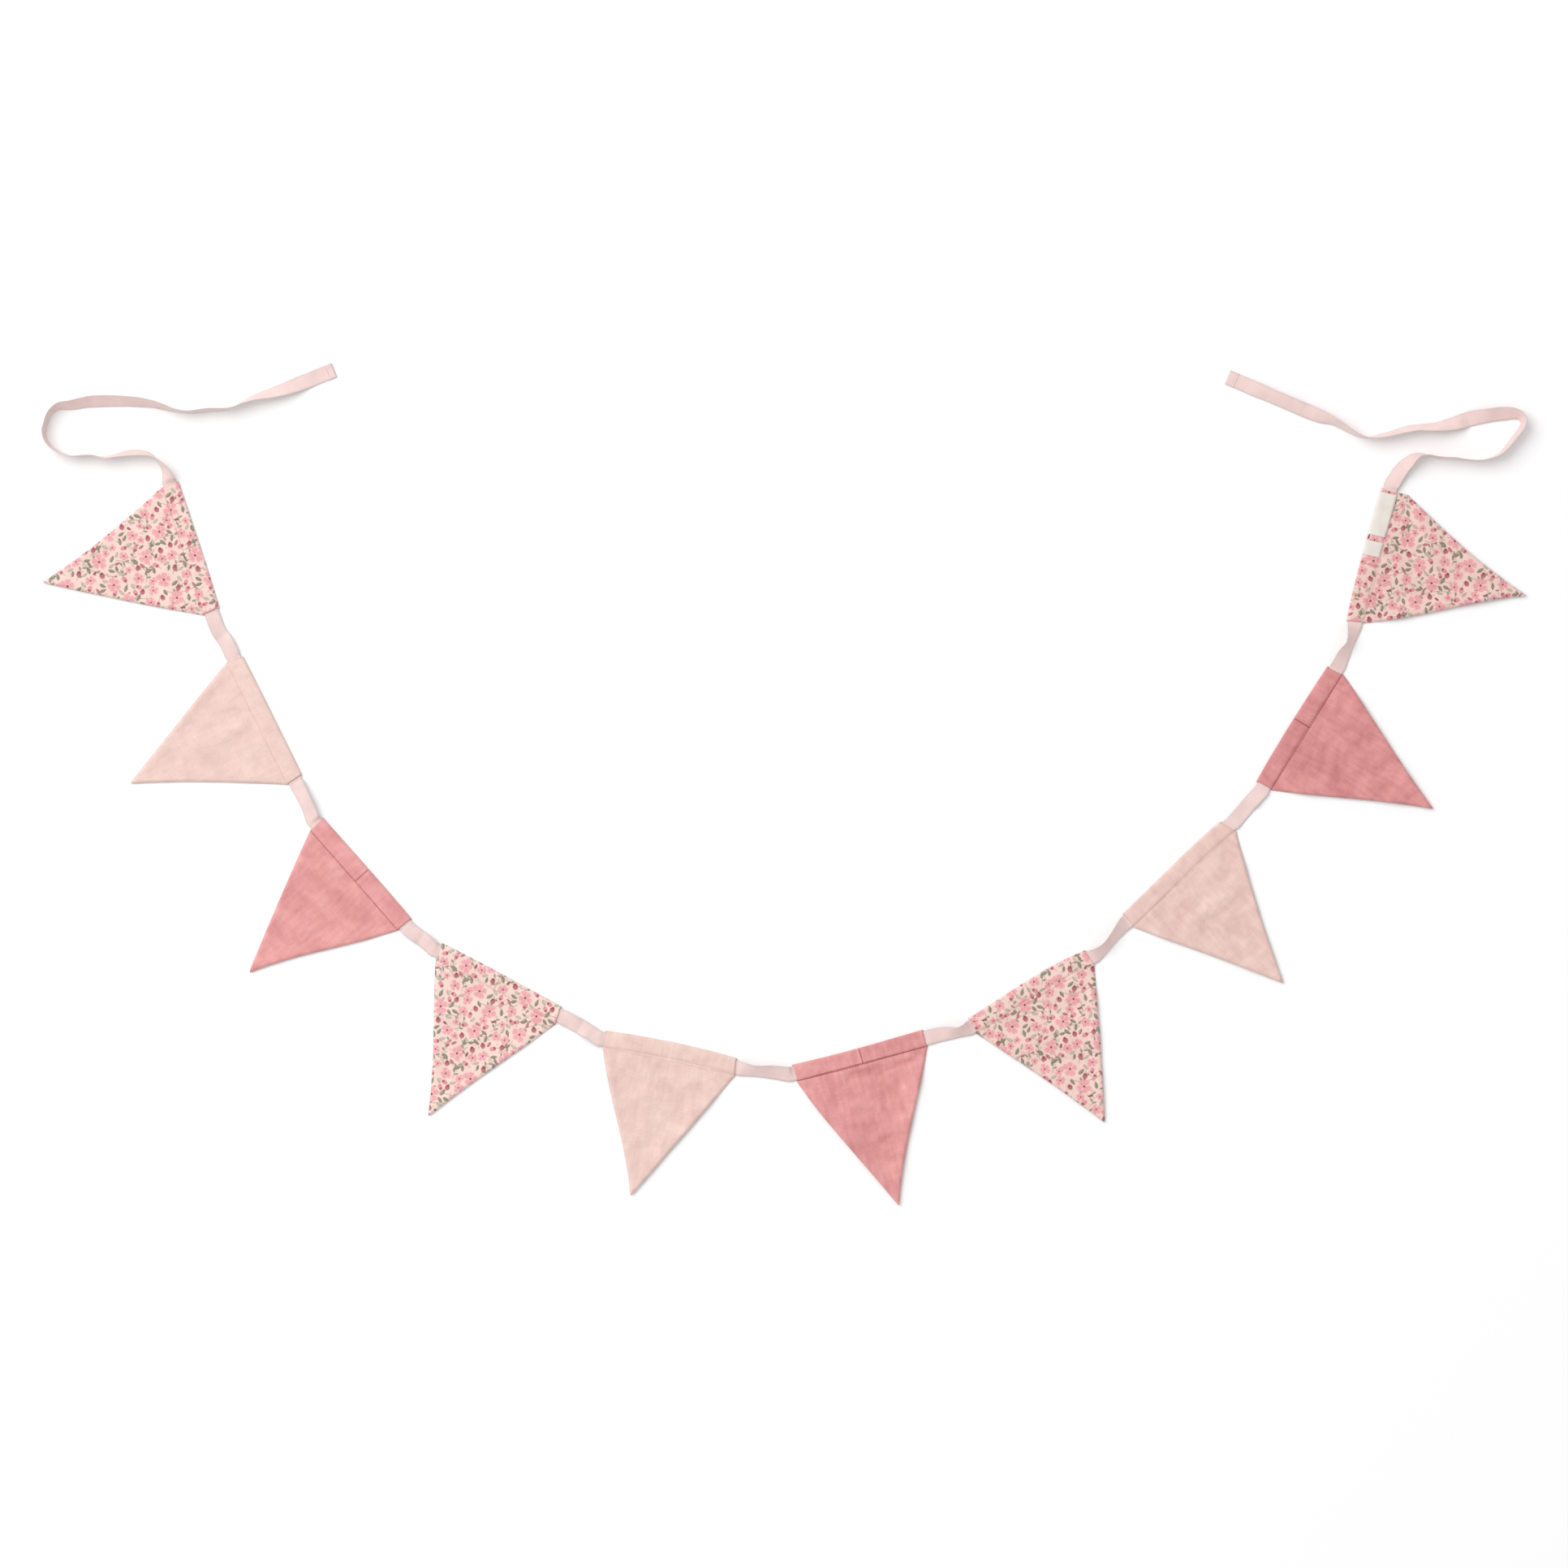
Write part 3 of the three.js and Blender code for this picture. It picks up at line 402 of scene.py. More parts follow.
def upper_height(pennant, u, v, edge):
    """Height of the upper face at local points. edge is the distance to the nearer side."""
    seam, seed = pennant["seam"], seed_of(pennant)
    z = np.interp(v, *channel_profile(seam))
    plain = pennant["cloth"] != "floral"
    below = smooth(seam + 0.5, seam + 4, v)
    near_tip = smooth(24, 4, pennant["tip"][1] - v)

    # The turned edges are thicker, and round at the side
    thicker = 0.18 * (smooth(0.4, 1.6, edge) - smooth(5.5, 8.5, edge)) + 0.25 * near_tip
    z += below * (thicker - 0.8 * hump(edge, 0.7))
    z -= (1 - below) * 0.25 * hump(edge, 0.6)
    z += below * (2.1 if plain else 1.35) * crease_rise(pennant, u, v)

    # The tack pulls a dip across the channel, and one side of it stands higher
    from_tack = u - pennant["tack"]
    tacked = (1 - below) * min(1.0, 0.15 + 3 * abs(CLOTH_STATES[pennant["name"]]["tack"]))
    z += tacked * 0.32 * smooth(-0.3, 0.3, from_tack) * np.exp(-np.maximum(from_tack, 0) / 7)
    z -= tacked * 0.5 * hump(from_tack, 0.45)

    # Crinkle all over, streaks that run down from the seam, and puckers along it
    inner = smooth(0.5, 7, edge)
    crinkle = {"floral": 0.34, "blush": 0.85, "rose": 1.05}[pennant["cloth"]]
    z += crinkle * inner * (0.25 + 0.75 * below) * noise_field(u, v, 19, seed + 0.3)
    z += 0.36 * crinkle * inner * noise_field(u, v, 7.5, seed + 0.7)
    streaks = noise_field(u, v * 0.16, 5.5, seed + 0.9)
    z += (0.3 if plain else 0.1) * streaks * below * np.exp(-(v - seam) / 28)
    z += 0.16 * noise_field(u, v * 0.3, 2.6, seed + 0.5) * hump(v - seam, 3.4)
    return np.clip(z, 1.1, 4.4)


def painted_seam_shade_and_thread(pennant, u, v, edge, z):
    """Painted shade in the dips of the seam, the tack and the mouths at local points, as a share of the
    cloth's own colour; a tack darkness below nothing paints a highlight, and under the sole the seam gets a
    soft dark line for its thread.
    """
    state = CLOTH_STATES[pennant["name"]]
    from_seam = v - pennant["seam"]
    in_channel = from_seam < 0
    # Painted shade along the seam, the tack and the mouths of the channel
    mouth_shade_depth = 0.36 if pennant["cloth"] == "rose" else 0.26
    shade = 1 - state["seam"] * hump(from_seam, 0.55)
    shade -= state["tack"] * in_channel * hump(u - pennant["tack"], 0.5)
    shade *= 1 - mouth_shade_depth * in_channel * hump(edge, 0.5)
    on_top = smooth(1.2, 1.8, z)
    # Under the sole, a soft dark line for the seam's thread
    underneath = smooth(0.3, 0.1, z) * state["seam"] * hump(from_seam, 0.5)
    return 1 - (1 - shade) * on_top - 0.7 * underneath


def painted_shade_and_falloff(pennant, u, v):
    """Painted light and shade at local points, as a share of the cloth's own colour: soft patches of painted
    shade from the crinkles and darker painted troughs of the creases, times the pennant's tone, which paints
    the fall of light along the row.
    """
    seed = 40 + seed_of(pennant)
    drift = 7 * noise_field(u, v, 30, seed + 0.1)
    shade_patches = noise_field(u + drift, 1.4 * v + drift, 30, seed + 0.2)
    waves = noise_field(0.4 * u, v + drift, 9, seed + 0.3)
    drags = noise_field(u + 0.4 * drift, 0.14 * v, 3.6, seed + 0.4)
    flecks = noise_field(u, v, 5, seed + 0.5)
    # Painted shade in the troughs of the creases
    troughs = 0.6 * np.minimum(crease_rise(pennant, u, v), 0)
    shade_patches = 0.8 * shade_patches + 0.7 * waves + 0.6 * drags + 0.4 * flecks + troughs
    state = CLOTH_STATES[pennant["name"]]
    # The tone paints the fall of light along the row
    return state["tone"] * (1 + state["shade_patches"] * shade_patches)


def side_lift(pennant, v, from_sides):
    """How far both layers stand off the surface near the two sides, where the turned edges spring up."""
    seam = pennant["seam"]
    lifts = []
    for k, away in enumerate(from_sides):
        height = CLOTH_STATES[pennant["name"]]["lift"][k] * smooth(seam + 3, seam + 36, v)
        uneven = 1 + 0.5 * noise_field(v, np.full(len(v), 9.0 * k), 28, 5.2)
        lifts.append(height * uneven * smooth(24, 0, away))
    return np.maximum(*lifts)


# Meshes
def zip_strip(first, first_at, second, second_at):
    """Triangles between two lines of points that run side by side."""
    faces = []
    i = j = 0
    while i < len(first) - 1 or j < len(second) - 1:
        if j == len(second) - 1 or (i < len(first) - 1 and first_at[i + 1] <= second_at[j + 1]):
            faces.append((first[i], first[i + 1], second[j]))
            i += 1
        else:
            faces.append((first[i], second[j + 1], second[j]))
            j += 1
    return faces


def shares_along(points, line):
    """How far along the line each of its points is, from 0 to 1."""
    places = np.array([points[i][:2] for i in line])
    steps = np.hypot(*np.diff(places, axis=0).T)
    travelled = np.concatenate([[0], np.cumsum(steps)])
    return travelled / travelled[-1]


def row_depths(pennant, spacing, fine):
    """Depths of the rows of points, closer together at the fold and at the seam."""
    seam, tip = pennant["seam"], pennant["tip"][1]
    if not fine:
        at_seam = [seam - 0.5, seam, seam + 0.5]
        return np.concatenate([[0.3, MOUTH_FROM], np.linspace(2.4, 13.6, 7), [MOUTH_TO], at_seam,
                               np.arange(seam + 0.5 + spacing, tip - 2.0, spacing)])
    body = np.arange(seam + 1.2 + 0.6 * spacing, tip - 1.6, spacing)
    return np.concatenate([
        [0.25, 0.55, MOUTH_FROM, 1.4, 2.0],
        np.linspace(2.0, MOUTH_TO, int(13 / spacing))[1:],
        np.linspace(MOUTH_TO, seam + 1.2, max(4, int(round((seam + 1.2 - MOUTH_TO) / 0.3))))[1:],
        body,
    ])


def lay_rows(pennant, depths, spacing, inset, points, height):
    """Adds rows of points from side to side, and the tip. Returns rows of indices, the tip and faces."""
    rows, faces, shares = [], [], []
    us, vs, edges = [], [], []
    for v in depths:
        left = start_side(pennant, v) + inset
        right = end_side(pennant, v) - inset
        width = right - left
        if width > NARROW_ROW:
            steps = int(round((width - 2 * INNER_FROM) / spacing))
            inner = np.linspace(left + INNER_FROM, right - INNER_FROM, max(2, steps + 1))
            if v < pennant["seam"]:
                inner = np.sort(np.concatenate([inner, pennant["tack"] + TACK_COLUMNS]))
            line = np.concatenate([left + SIDE_COLUMNS, inner, right - SIDE_COLUMNS[::-1]])
        else:
            line = np.linspace(left, right, max(2, int(round(width / spacing)) + 1))
        start = len(points) + sum(len(part) for part in us)
        rows.append(np.arange(start, start + len(line)))
        shares.append((line - left) / width)
        us.append(line)
        vs.append(np.full(len(line), v))
        edges.append(SIDE_SLANT * np.minimum(line - left, right - line))
    u, v, edge = np.concatenate(us), np.concatenate(vs), np.concatenate(edges)
    z = height(u, v, edge)
    points.extend(zip(u, v + fold_shift(pennant, u) * bulge_fade(v), z))
    for above, below, s, t in zip(rows, rows[1:], shares, shares[1:]):
        faces.extend(zip_strip(list(above), s, list(below), t))
    tip_u, tip_v = pennant["tip"]
    points.append((tip_u, tip_v - TIP_INSET - inset, min(float(z[-1]), TIP_HEIGHT)))
    tip = len(points) - 1
    faces.extend((a, b, tip) for a, b in zip(rows[-1], rows[-1][1:]))
    return rows, tip, faces


def side_lines(rows, tip, depths):
    """The edge of a face as four lines: over the fold, round the body and along each mouth."""
    first = int(np.argmax(depths >= MOUTH_FROM - 1e-6))
    last = int(np.nonzero(depths <= MOUTH_TO + 1e-6)[0][-1])
    left = [int(row[0]) for row in rows]
    right = [int(row[-1]) for row in rows]
    fold = left[:first + 1][::-1] + [int(i) for i in rows[0][1:-1]] + right[:first + 1]
    body = left[last:] + [tip] + right[last:][::-1]
    return fold, body, left[first:last + 1], right[first:last + 1]


def pushed_out(points, loop, distance):
    """The loop of points moved outward along the surface."""
    places = np.array([points[i][:2] for i in loop])
    into = places - np.roll(places, 1, axis=0)
    away = np.roll(places, -1, axis=0) - places
    into /= np.hypot(*into.T)[:, None]
    away /= np.hypot(*away.T)[:, None]
    along = into + away
    along /= np.hypot(*along.T)[:, None]
    area = np.sum(places[:, 0] * np.roll(places[:, 1], -1) - np.roll(places[:, 0], -1) * places[:, 1])
    side = 1 if area > 0 else -1
    normal = np.column_stack([along[:, 1], -along[:, 0]]) * side
    straight = np.column_stack([into[:, 1], -into[:, 0]]) * side
    stretch = np.maximum(np.sum(normal * straight, axis=1), 0.6)
    return places + normal * (distance / stretch)[:, None]


def tunnel_ring(pennant, share, points):
    """A ring of points round the inside of the channel, at a share of the way from mouth to mouth."""
    depths = np.linspace(MOUTH_FROM + 0.15, MOUTH_TO - 0.15, TUNNEL_POINTS)
    corners = (0, TUNNEL_POINTS - 1)
    ring = []
    for line, at_corners, between in (
        (depths, TUNNEL_ROOF - 0.4, TUNNEL_ROOF),
        (depths[::-1], TUNNEL_FLOOR + 0.3, TUNNEL_FLOOR),
    ):
        for i, v in enumerate(line):
            start, end = start_side(pennant, v) + TUNNEL_INSET, end_side(pennant, v) - TUNNEL_INSET
            u = (1 - share) * start + share * end
            points.append((u, v + fold_shift(pennant, u), at_corners if i in corners else between))
            ring.append(len(points) - 1)
    return ring, [*np.linspace(0.02, 0.46, TUNNEL_POINTS), *np.linspace(0.52, 0.96, TUNNEL_POINTS)]


def pennant_mesh(pennant):
    """A closed shell of two layers of cloth, with the channel open at both ends."""
    printed = pennant["cloth"] == "floral"
    coarser = 1
    spacing = coarser * (PRINT_SPACING if printed else PLAIN_SPACING)
    sole_spacing = coarser * (PRINT_SOLE_SPACING if printed else SOLE_SPACING)

    points = []
    top_depths = row_depths(pennant, spacing, True)
    top_rows, top_tip, faces = lay_rows(
        pennant, top_depths, spacing, EDGE_INSET, points, partial(upper_height, pennant))
    sole_depths = row_depths(pennant, sole_spacing, False)
    sole_rows, sole_tip, sole_faces = lay_rows(
        pennant, sole_depths, sole_spacing, -SOLE_OUT, points, lambda u, v, edge: np.zeros_like(u))
    faces += sole_faces
    fold, body, mouth_in, mouth_out = side_lines(top_rows, top_tip, top_depths)
    sole_fold, sole_body, sole_in, sole_out = side_lines(sole_rows, sole_tip, sole_depths)

    loop = body + mouth_out[1:-1][::-1] + fold[::-1] + mouth_in[1:-1]
    outward = dict(zip(loop, pushed_out(points, loop, EDGE_INSET + EDGE_OUT)))

    def half_way(line):
        """Points on the rounded edge, one for each point of the line."""
        made = []
        for i in line:
            points.append((*outward[i], EDGE_HEIGHT * points[i][2]))
            made.append(len(points) - 1)
        return made

    fold_edge, body_edge = half_way(fold), half_way(body)
    for line, edge, sole in ((fold, fold_edge, sole_fold), (body, body_edge, sole_body)):
        at = shares_along(points, line)
        faces += zip_strip(line, at, edge, at)
        faces += zip_strip(edge, shares_along(points, edge), sole, shares_along(points, sole))

    ends = []
    for share, mouth, sole, near_body, near_fold in (
        (0, mouth_in, sole_in, body_edge[0], fold_edge[0]),
        (1, mouth_out, sole_out, body_edge[-1], fold_edge[-1]),
    ):
        ring = mouth + [near_body] + sole[::-1] + [near_fold]
        at = [*np.linspace(0.0, 0.46, len(mouth)), 0.49, *np.linspace(0.52, 0.96, len(sole)), 0.98]
        inner, inner_at = tunnel_ring(pennant, share, points)
        faces += zip_strip(ring + ring[:1], at + [1.0], inner + inner[:1], inner_at + [1.02])
        ends.append(inner)
    between = [tunnel_ring(pennant, share, points)[0] for share in np.linspace(0, 1, TUNNEL_RINGS)[1:-1]]
    rings = [ends[0], *between, ends[1]]
    for here, there in zip(rings, rings[1:]):
        for k in range(len(here)):
            m = (k + 1) % len(here)
            faces += [(here[k], here[m], there[m]), (here[k], there[m], there[k])]
    return np.array(points), faces


def ring_faces(rings, count, first=0):
    """Faces between rings of points that follow one another."""
    faces = []
    for i in range(rings - 1):
        for k in range(count):
            here, beside = first + i * count + k, first + i * count + (k + 1) % count
            faces.append((here, beside, beside + count, here + count))
    return faces


def band_faces(rings, count):
    """Faces of a closed band: between its rings of points, and across both ends."""
    faces = ring_faces(rings, count)
    last = (rings - 1) * count
    for k in range(count // 2 - 1):
        m = count - 1 - k
        faces.append((k, k + 1, m - 1, m))
        faces.append((last + k, last + k + 1, last + m - 1, last + m))
    return faces


def make_piece(name, places, faces, material, uvs=None, colours=None):
    """A smooth mesh object from millimetre points, with optional map places and colours at each point."""
    mesh = bpy.data.meshes.new(name)
    metres = np.asarray(places) * 0.001
    mesh.from_pydata(metres.tolist(), [], [tuple(int(i) for i in face) for face in faces])
    work = bmesh.new()
    work.from_mesh(mesh)
    bmesh.ops.recalc_face_normals(work, faces=work.faces)
    work.to_mesh(mesh)
    work.free()
    mesh.polygons.foreach_set("use_smooth", [True] * len(mesh.polygons))
    corners = np.empty(len(mesh.loops), dtype=np.int64)
    mesh.loops.foreach_get("vertex_index", corners)
    if uvs is not None:
        layer = mesh.uv_layers.new(name="cloth")
        layer.data.foreach_set("uv", np.asarray(uvs, dtype=np.float32)[corners].ravel())
    if colours is not None:
        layer = mesh.color_attributes.new("print", "FLOAT_COLOR", "POINT")
        rgba = np.column_stack([colours, np.ones(len(colours))]).astype(np.float32)
        layer.data.foreach_set("color", rgba.ravel())
    mesh.materials.append(material)
    mesh.update()
    piece = bpy.data.objects.new(name, mesh)
    bpy.context.scene.collection.objects.link(piece)
    return piece


# The print
def turned(dx, dy, degrees):
    turn = math.radians(degrees)
    return dx * math.cos(turn) + dy * math.sin(turn), -dx * math.sin(turn) + dy * math.cos(turn)


def motif(colours, x, y, at_x, at_y, reach, degrees=0):
    """A motif in every repeat: a function that lays a tone over the points near it, and their own places."""
    dx = (x - at_x + REPEAT[0] / 2) % REPEAT[0] - REPEAT[0] / 2
    dy = (y - at_y + REPEAT[1] / 2) % REPEAT[1] - REPEAT[1] / 2
    where = np.nonzero(np.hypot(dx, dy) < reach)[0]

    def lay(cover, tone, shade=1.0):
        cover = np.clip(cover, 0, 1)[:, None]
        colours[where] = colours[where] * (1 - cover) + np.array(PRINT[tone], dtype=float) * shade * cover

    return lay, *turned(dx[where], dy[where], degrees)


def draw_leaf(colours, x, y, tone, at_x, at_y, length, degrees):
    """A leaf with a dark edge and vein, lighter on one side."""
    lay, a, b = motif(colours, x, y, at_x, at_y, length, degrees)
    half = 0.58 * length
    share = np.clip(0.5 + a / (2 * half), 0, 1)
    width = 0.25 * length * np.sin(share ** 0.85 * math.pi) ** 0.9
    inside = np.where(np.abs(a) < half, width - np.abs(b - 0.1 * length * (0.5 - share) ** 2), -1)
    lay(0.5 + inside / 0.5, tone, 0.84)
    lay((inside - 0.3) / 0.4, tone)
    lay(0.7 * (inside - 0.35) / 0.5 * (b > 0), tone + "_light")
    lay((0.5 + (0.16 - np.abs(b)) / 0.25) * (inside > 0.3), tone, 0.84)


def draw_bloom(colours, x, y, at_x, at_y, radius, degrees):
    """Five notched petals with fine lines, no two alike, round a pale ring and a dark heart."""
    lay, dx, dy = motif(colours, x, y, at_x, at_y, radius * 1.3)
    away = np.hypot(dx, dy)
    for k in range(5):
        size = radius * (1 + 0.09 * math.sin(2.3 * k + at_x))
        a, b = turned(dx, dy, degrees + 72 * k + 5 * math.sin(3.7 * k + at_y))
        wide = 0.41 * size * smooth(-0.10, 0.74, a / size) ** 0.9
        end = size * (1 - 0.13 * hump(b, 0.1 * size))
        outer = np.clip((a - 0.6 * size) / (end - 0.6 * size), 0, 1)
        across = wide * np.sqrt(np.clip(1 - outer ** 2, 0, 1))
        inside = np.where(a > 0, across - np.abs(b), -1)
        lay(0.5 + inside / 0.5, "petal_edge")
        lay(0.9 * smooth(0.1, 0.75, inside), "petal")
        for spread in (-0.42, -0.2, 0.0, 0.2, 0.42):
            off = np.abs(b - spread * a) - 0.1
            reach = smooth(0.92 * size, 0.5 * size, a) * (a > 0.16 * size)
            lay(0.8 * np.clip(0.5 - off / 0.4, 0, 1) * reach * (inside > 0.05), "petal_line")
    lay(0.75 * smooth(0.34 * radius, 0.2 * radius, away), "pollen")
    spots = (np.cos(8 * np.arctan2(dy, dx)) > 0.2) * (np.abs(away - 0.25 * radius) < 0.25)
    lay(0.55 * spots, "petal_line")
    lay(0.5 + (0.12 * radius + 0.26 - away) / 0.4, "heart")


def draw_berry(colours, x, y, at_x, at_y, size, degrees):
    """A berry that narrows to its foot, with six seeds and three leaves on top."""
    lay, a, b = motif(colours, x, y, at_x, at_y, size * 2.2, degrees)
    share = np.clip((b + size) / (1.9 * size), 0, 1)
    half = size * 0.98 * np.sqrt(np.sin(share * math.pi)) * (0.72 + 0.28 * share)
    inside = np.where((b > -size) & (b < 0.9 * size), half - np.abs(a), -1)
    lay(0.5 + inside / 0.5, "berry")
    lay(0.75 * smooth(0.3, 1.0, inside) * smooth(0.5 * size, -0.6 * size, b), "berry_light")
    for i, j in ((-0.35, 0.25), (0.3, 0.3), (0.0, -0.15), (-0.3, -0.4), (0.33, -0.35), (0.0, 0.55)):
        lay(0.6 * (0.5 + (0.3 - np.hypot(a - i * size, b - j * size)) / 0.3), "heart")
    length = 0.7 * size
    for lean in (-0.75, 0.0, 0.75):
        p = (b - 0.6 * size) * math.cos(lean) + a * math.sin(lean)
        q = a * math.cos(lean) - (b - 0.6 * size) * math.sin(lean)
        leaf = np.where((p > 0) & (p < length), 0.26 * size * (1 - p / length) + 0.08 - np.abs(q), -1)
        lay(0.5 + leaf / 0.4, "heart")


def draw_bud(colours, x, y, at_x, at_y, size, degrees):
    """A closed bud on a short bent stalk."""
    lay, a, b = motif(colours, x, y, at_x, at_y, size * 3, degrees)
    stalk = np.where((a < -size) & (a > -2.6 * size), 0.3 - np.abs(b - 0.12 * (a + size) ** 2 / size), -1)
    lay(0.5 + stalk / 0.35, "stem")
    round_part = size * (1 - np.hypot(a / (1.1 * size), b / (0.8 * size)))
    lay(0.5 + round_part / 0.5, "bud")
    lay(0.8 * smooth(0.3, 1.0, round_part) * (np.abs(b) > 0.3), "bud_light")
    base = 0.55 * size * (1 - np.hypot((a + 0.72 * size) / (0.5 * size), b / (0.66 * size)))
    lay(0.5 + base / 0.4, "berry")


def draw_branch(colours, x, y, from_x, from_y, to_x, to_y, bend, pairs):
    """A bent stem with pairs of small leaves, which get shorter toward its end."""
    run = math.hypot(to_x - from_x, to_y - from_y)
    heading = math.degrees(math.atan2(to_y - from_y, to_x - from_x))
    lay, a, b = motif(colours, x, y, (from_x + to_x) / 2, (from_y + to_y) / 2, 0.6 * run + 7, heading)
    share = 2 * a / run
    line = bend * (1 - share ** 2) + 0.9 * np.sin(2.5 * share)
    stem = np.where(np.abs(share) < 1, 0.36 - np.abs(b - line), -1)
    lay(0.9 * (0.5 + stem / 0.4), "stem")
    for k in range(pairs):
        place = -0.8 + 1.8 * (k + 0.5) / pairs
        root_a, root_b = place * run / 2, bend * (1 - place ** 2) + 0.9 * math.sin(2.5 * place)
        size = 5.0 - 0.4 * k
        for side in (-1, 1):
            p, q = turned(a - root_a - 0.9 * side, b - root_b, 46 * side)
            width = 0.95 * np.sin(np.clip(p / size, 0, 1) ** 1.2 * math.pi) ** 0.8
            leaf = np.where((p > 0) & (p < size), width - np.abs(q), -1)
            tone = "grey" if (k + side) % 3 == 0 else "sage"
            lay(0.5 + leaf / 0.4, tone)
            lay(0.6 * (leaf - 0.2) / 0.4 * (q > 0), tone + "_light")


def draw_dot(colours, x, y, at_x, at_y):
    lay, dx, dy = motif(colours, x, y, at_x, at_y, 1.5)
    lay(0.5 + (0.42 - np.hypot(dx, dy)) / 0.35, "dot")


def print_colours(pennant, x, y):
    """Colour of the print at each place, drawn motif by motif."""
    shift_x, shift_y, degrees = PRINT_PLACES[pennant["name"]]
    a, b = turned(x - pennant["x"], y - pennant["y"], degrees)
    a, b = a + shift_x, b + shift_y
    colours = np.tile(np.array(PRINT["ground"], dtype=float), (len(a), 1))
    leaves = [(tone, *row) for tone, rows in LEAVES.items() for row in rows]
    for draw, rows in (
        (draw_branch, BRANCHES), (draw_leaf, leaves), (draw_dot, DOTS),
        (draw_bud, BUDS), (draw_berry, BERRIES), (draw_bloom, BLOOMS),
    ):
        for row in rows:
            draw(colours, a, b, *row)
    return linear(colours)


# Route of the tape
def channel_node(pennant, u, roll, width):
    """A place of the tape on the middle line of a pennant's channel, or on that line beyond its mouths."""
    x, y = to_world(pennant, u, TAPE_DEPTH + fold_shift(pennant, u))
    return (x, y, TAPE_LIFT, roll, width)


def mouth_places(pennant):
    """The u just outside the two mouths of a channel."""
    start = min(0.0, pennant["mouth_start"]) - MOUTH_CLEARANCE
    end = max(pennant["length"], pennant["mouth_end"]) + MOUTH_CLEARANCE
    return start, end


def tape_route():
    """Places along the tape from end to end: x, y, lift, roll and width."""
    def tie(rows):
        return [(x, y, 0.0, roll, TAPE_WIDTH) for x, y, roll in rows]

    first, last = PENNANTS[0], PENNANTS[-1]
    route = tie(LEFT_TIE)
    low, high = mouth_places(first)[0] - STRAIGHT_RUN, mouth_places(last)[1] + STRAIGHT_RUN
    route.append(channel_node(first, low, LEFT_TIE[-1][2] / 2, TAPE_WIDTH))
    exit_node = channel_node(last, high, RIGHT_TIE[0][2] / 2, TAPE_WIDTH)
    for before, after in zip([None] + PENNANTS, PENNANTS):
        if before:
            shapes = GAP_SHAPES[before["name"]]
            leave, enter = mouth_places(before)[1] + STRAIGHT_RUN, mouth_places(after)[0] - STRAIGHT_RUN
            start = channel_node(before, leave, shapes[0][2] / 2, TAPE_WIDTH)
            end = channel_node(after, enter, shapes[-1][2] / 2, TAPE_WIDTH)
            way = (end[0] - start[0], end[1] - start[1])
            size = math.hypot(*way)
            route.append(start)
            for share, side, roll in shapes:
                x = start[0] + way[0] * share - way[1] / size * side
                y = start[1] + way[1] * share + way[0] / size * side
                route.append((x, y, 0.0, roll, TAPE_WIDTH))
            route.append(end)
        low, high = mouth_places(after)
        route += [channel_node(after, u, 0, TAPE_IN_CHANNEL) for u in np.linspace(low, high, 7)]
    return np.array([*route, exit_node, *tie(RIGHT_TIE)], dtype=float)


def on_curve(p0, p1, p2, p3, d0, d1, d2, t):
    """A point of the smooth curve from p1 to p2, where d0 to d2 are the steps between the four points."""
    m1 = (p1 - p0) / d0 - (p2 - p0) / (d0 + d1) + (p2 - p1) / d1
    m2 = (p2 - p1) / d1 - (p3 - p1) / (d1 + d2) + (p3 - p2) / d2
    m1, m2 = m1 * d1, m2 * d1
    return p1 + m1 * t + (3 * (p2 - p1) - 2 * m1 - m2) * t ** 2 + (2 * (p1 - p2) + m1 + m2) * t ** 3


def tape_stations(spacing):
    """Even samples along the tape: place, roll, width and distance from the start."""
    route = tape_route()
    route = np.vstack([2 * route[0] - route[1], route, 2 * route[-1] - route[-2]])
    samples = []
    for i in range(1, len(route) - 2):
        four = route[i - 1:i + 3]
        steps = [max(np.linalg.norm(b[:3] - a[:3]) ** 0.5, 1e-3) for a, b in zip(four, four[1:])]
        count = max(2, int(math.hypot(*(four[2] - four[1])[:2]) / spacing))
        for t in np.arange(count) / count:
            place = on_curve(*(row[:3] for row in four), *steps, t)
            roll = on_curve(*(row[3] for row in four), 1, 1, 1, t)
            samples.append([*place, math.radians(roll), (1 - t) * four[1][4] + t * four[2][4]])
    samples.append([*route[-2][:3], math.radians(route[-2][3]), route[-2][4]])
    samples = np.array(samples)
    travelled = np.concatenate([[0], np.cumsum(np.hypot(*np.diff(samples[:, :2], axis=0).T))])
    return samples, travelled


# Places of the points across the tape, as shares of its width
TAPE_ACROSS = np.array([-0.5, -0.47, -0.36, -0.22, -0.07, 0.07, 0.22, 0.36, 0.47, 0.5])


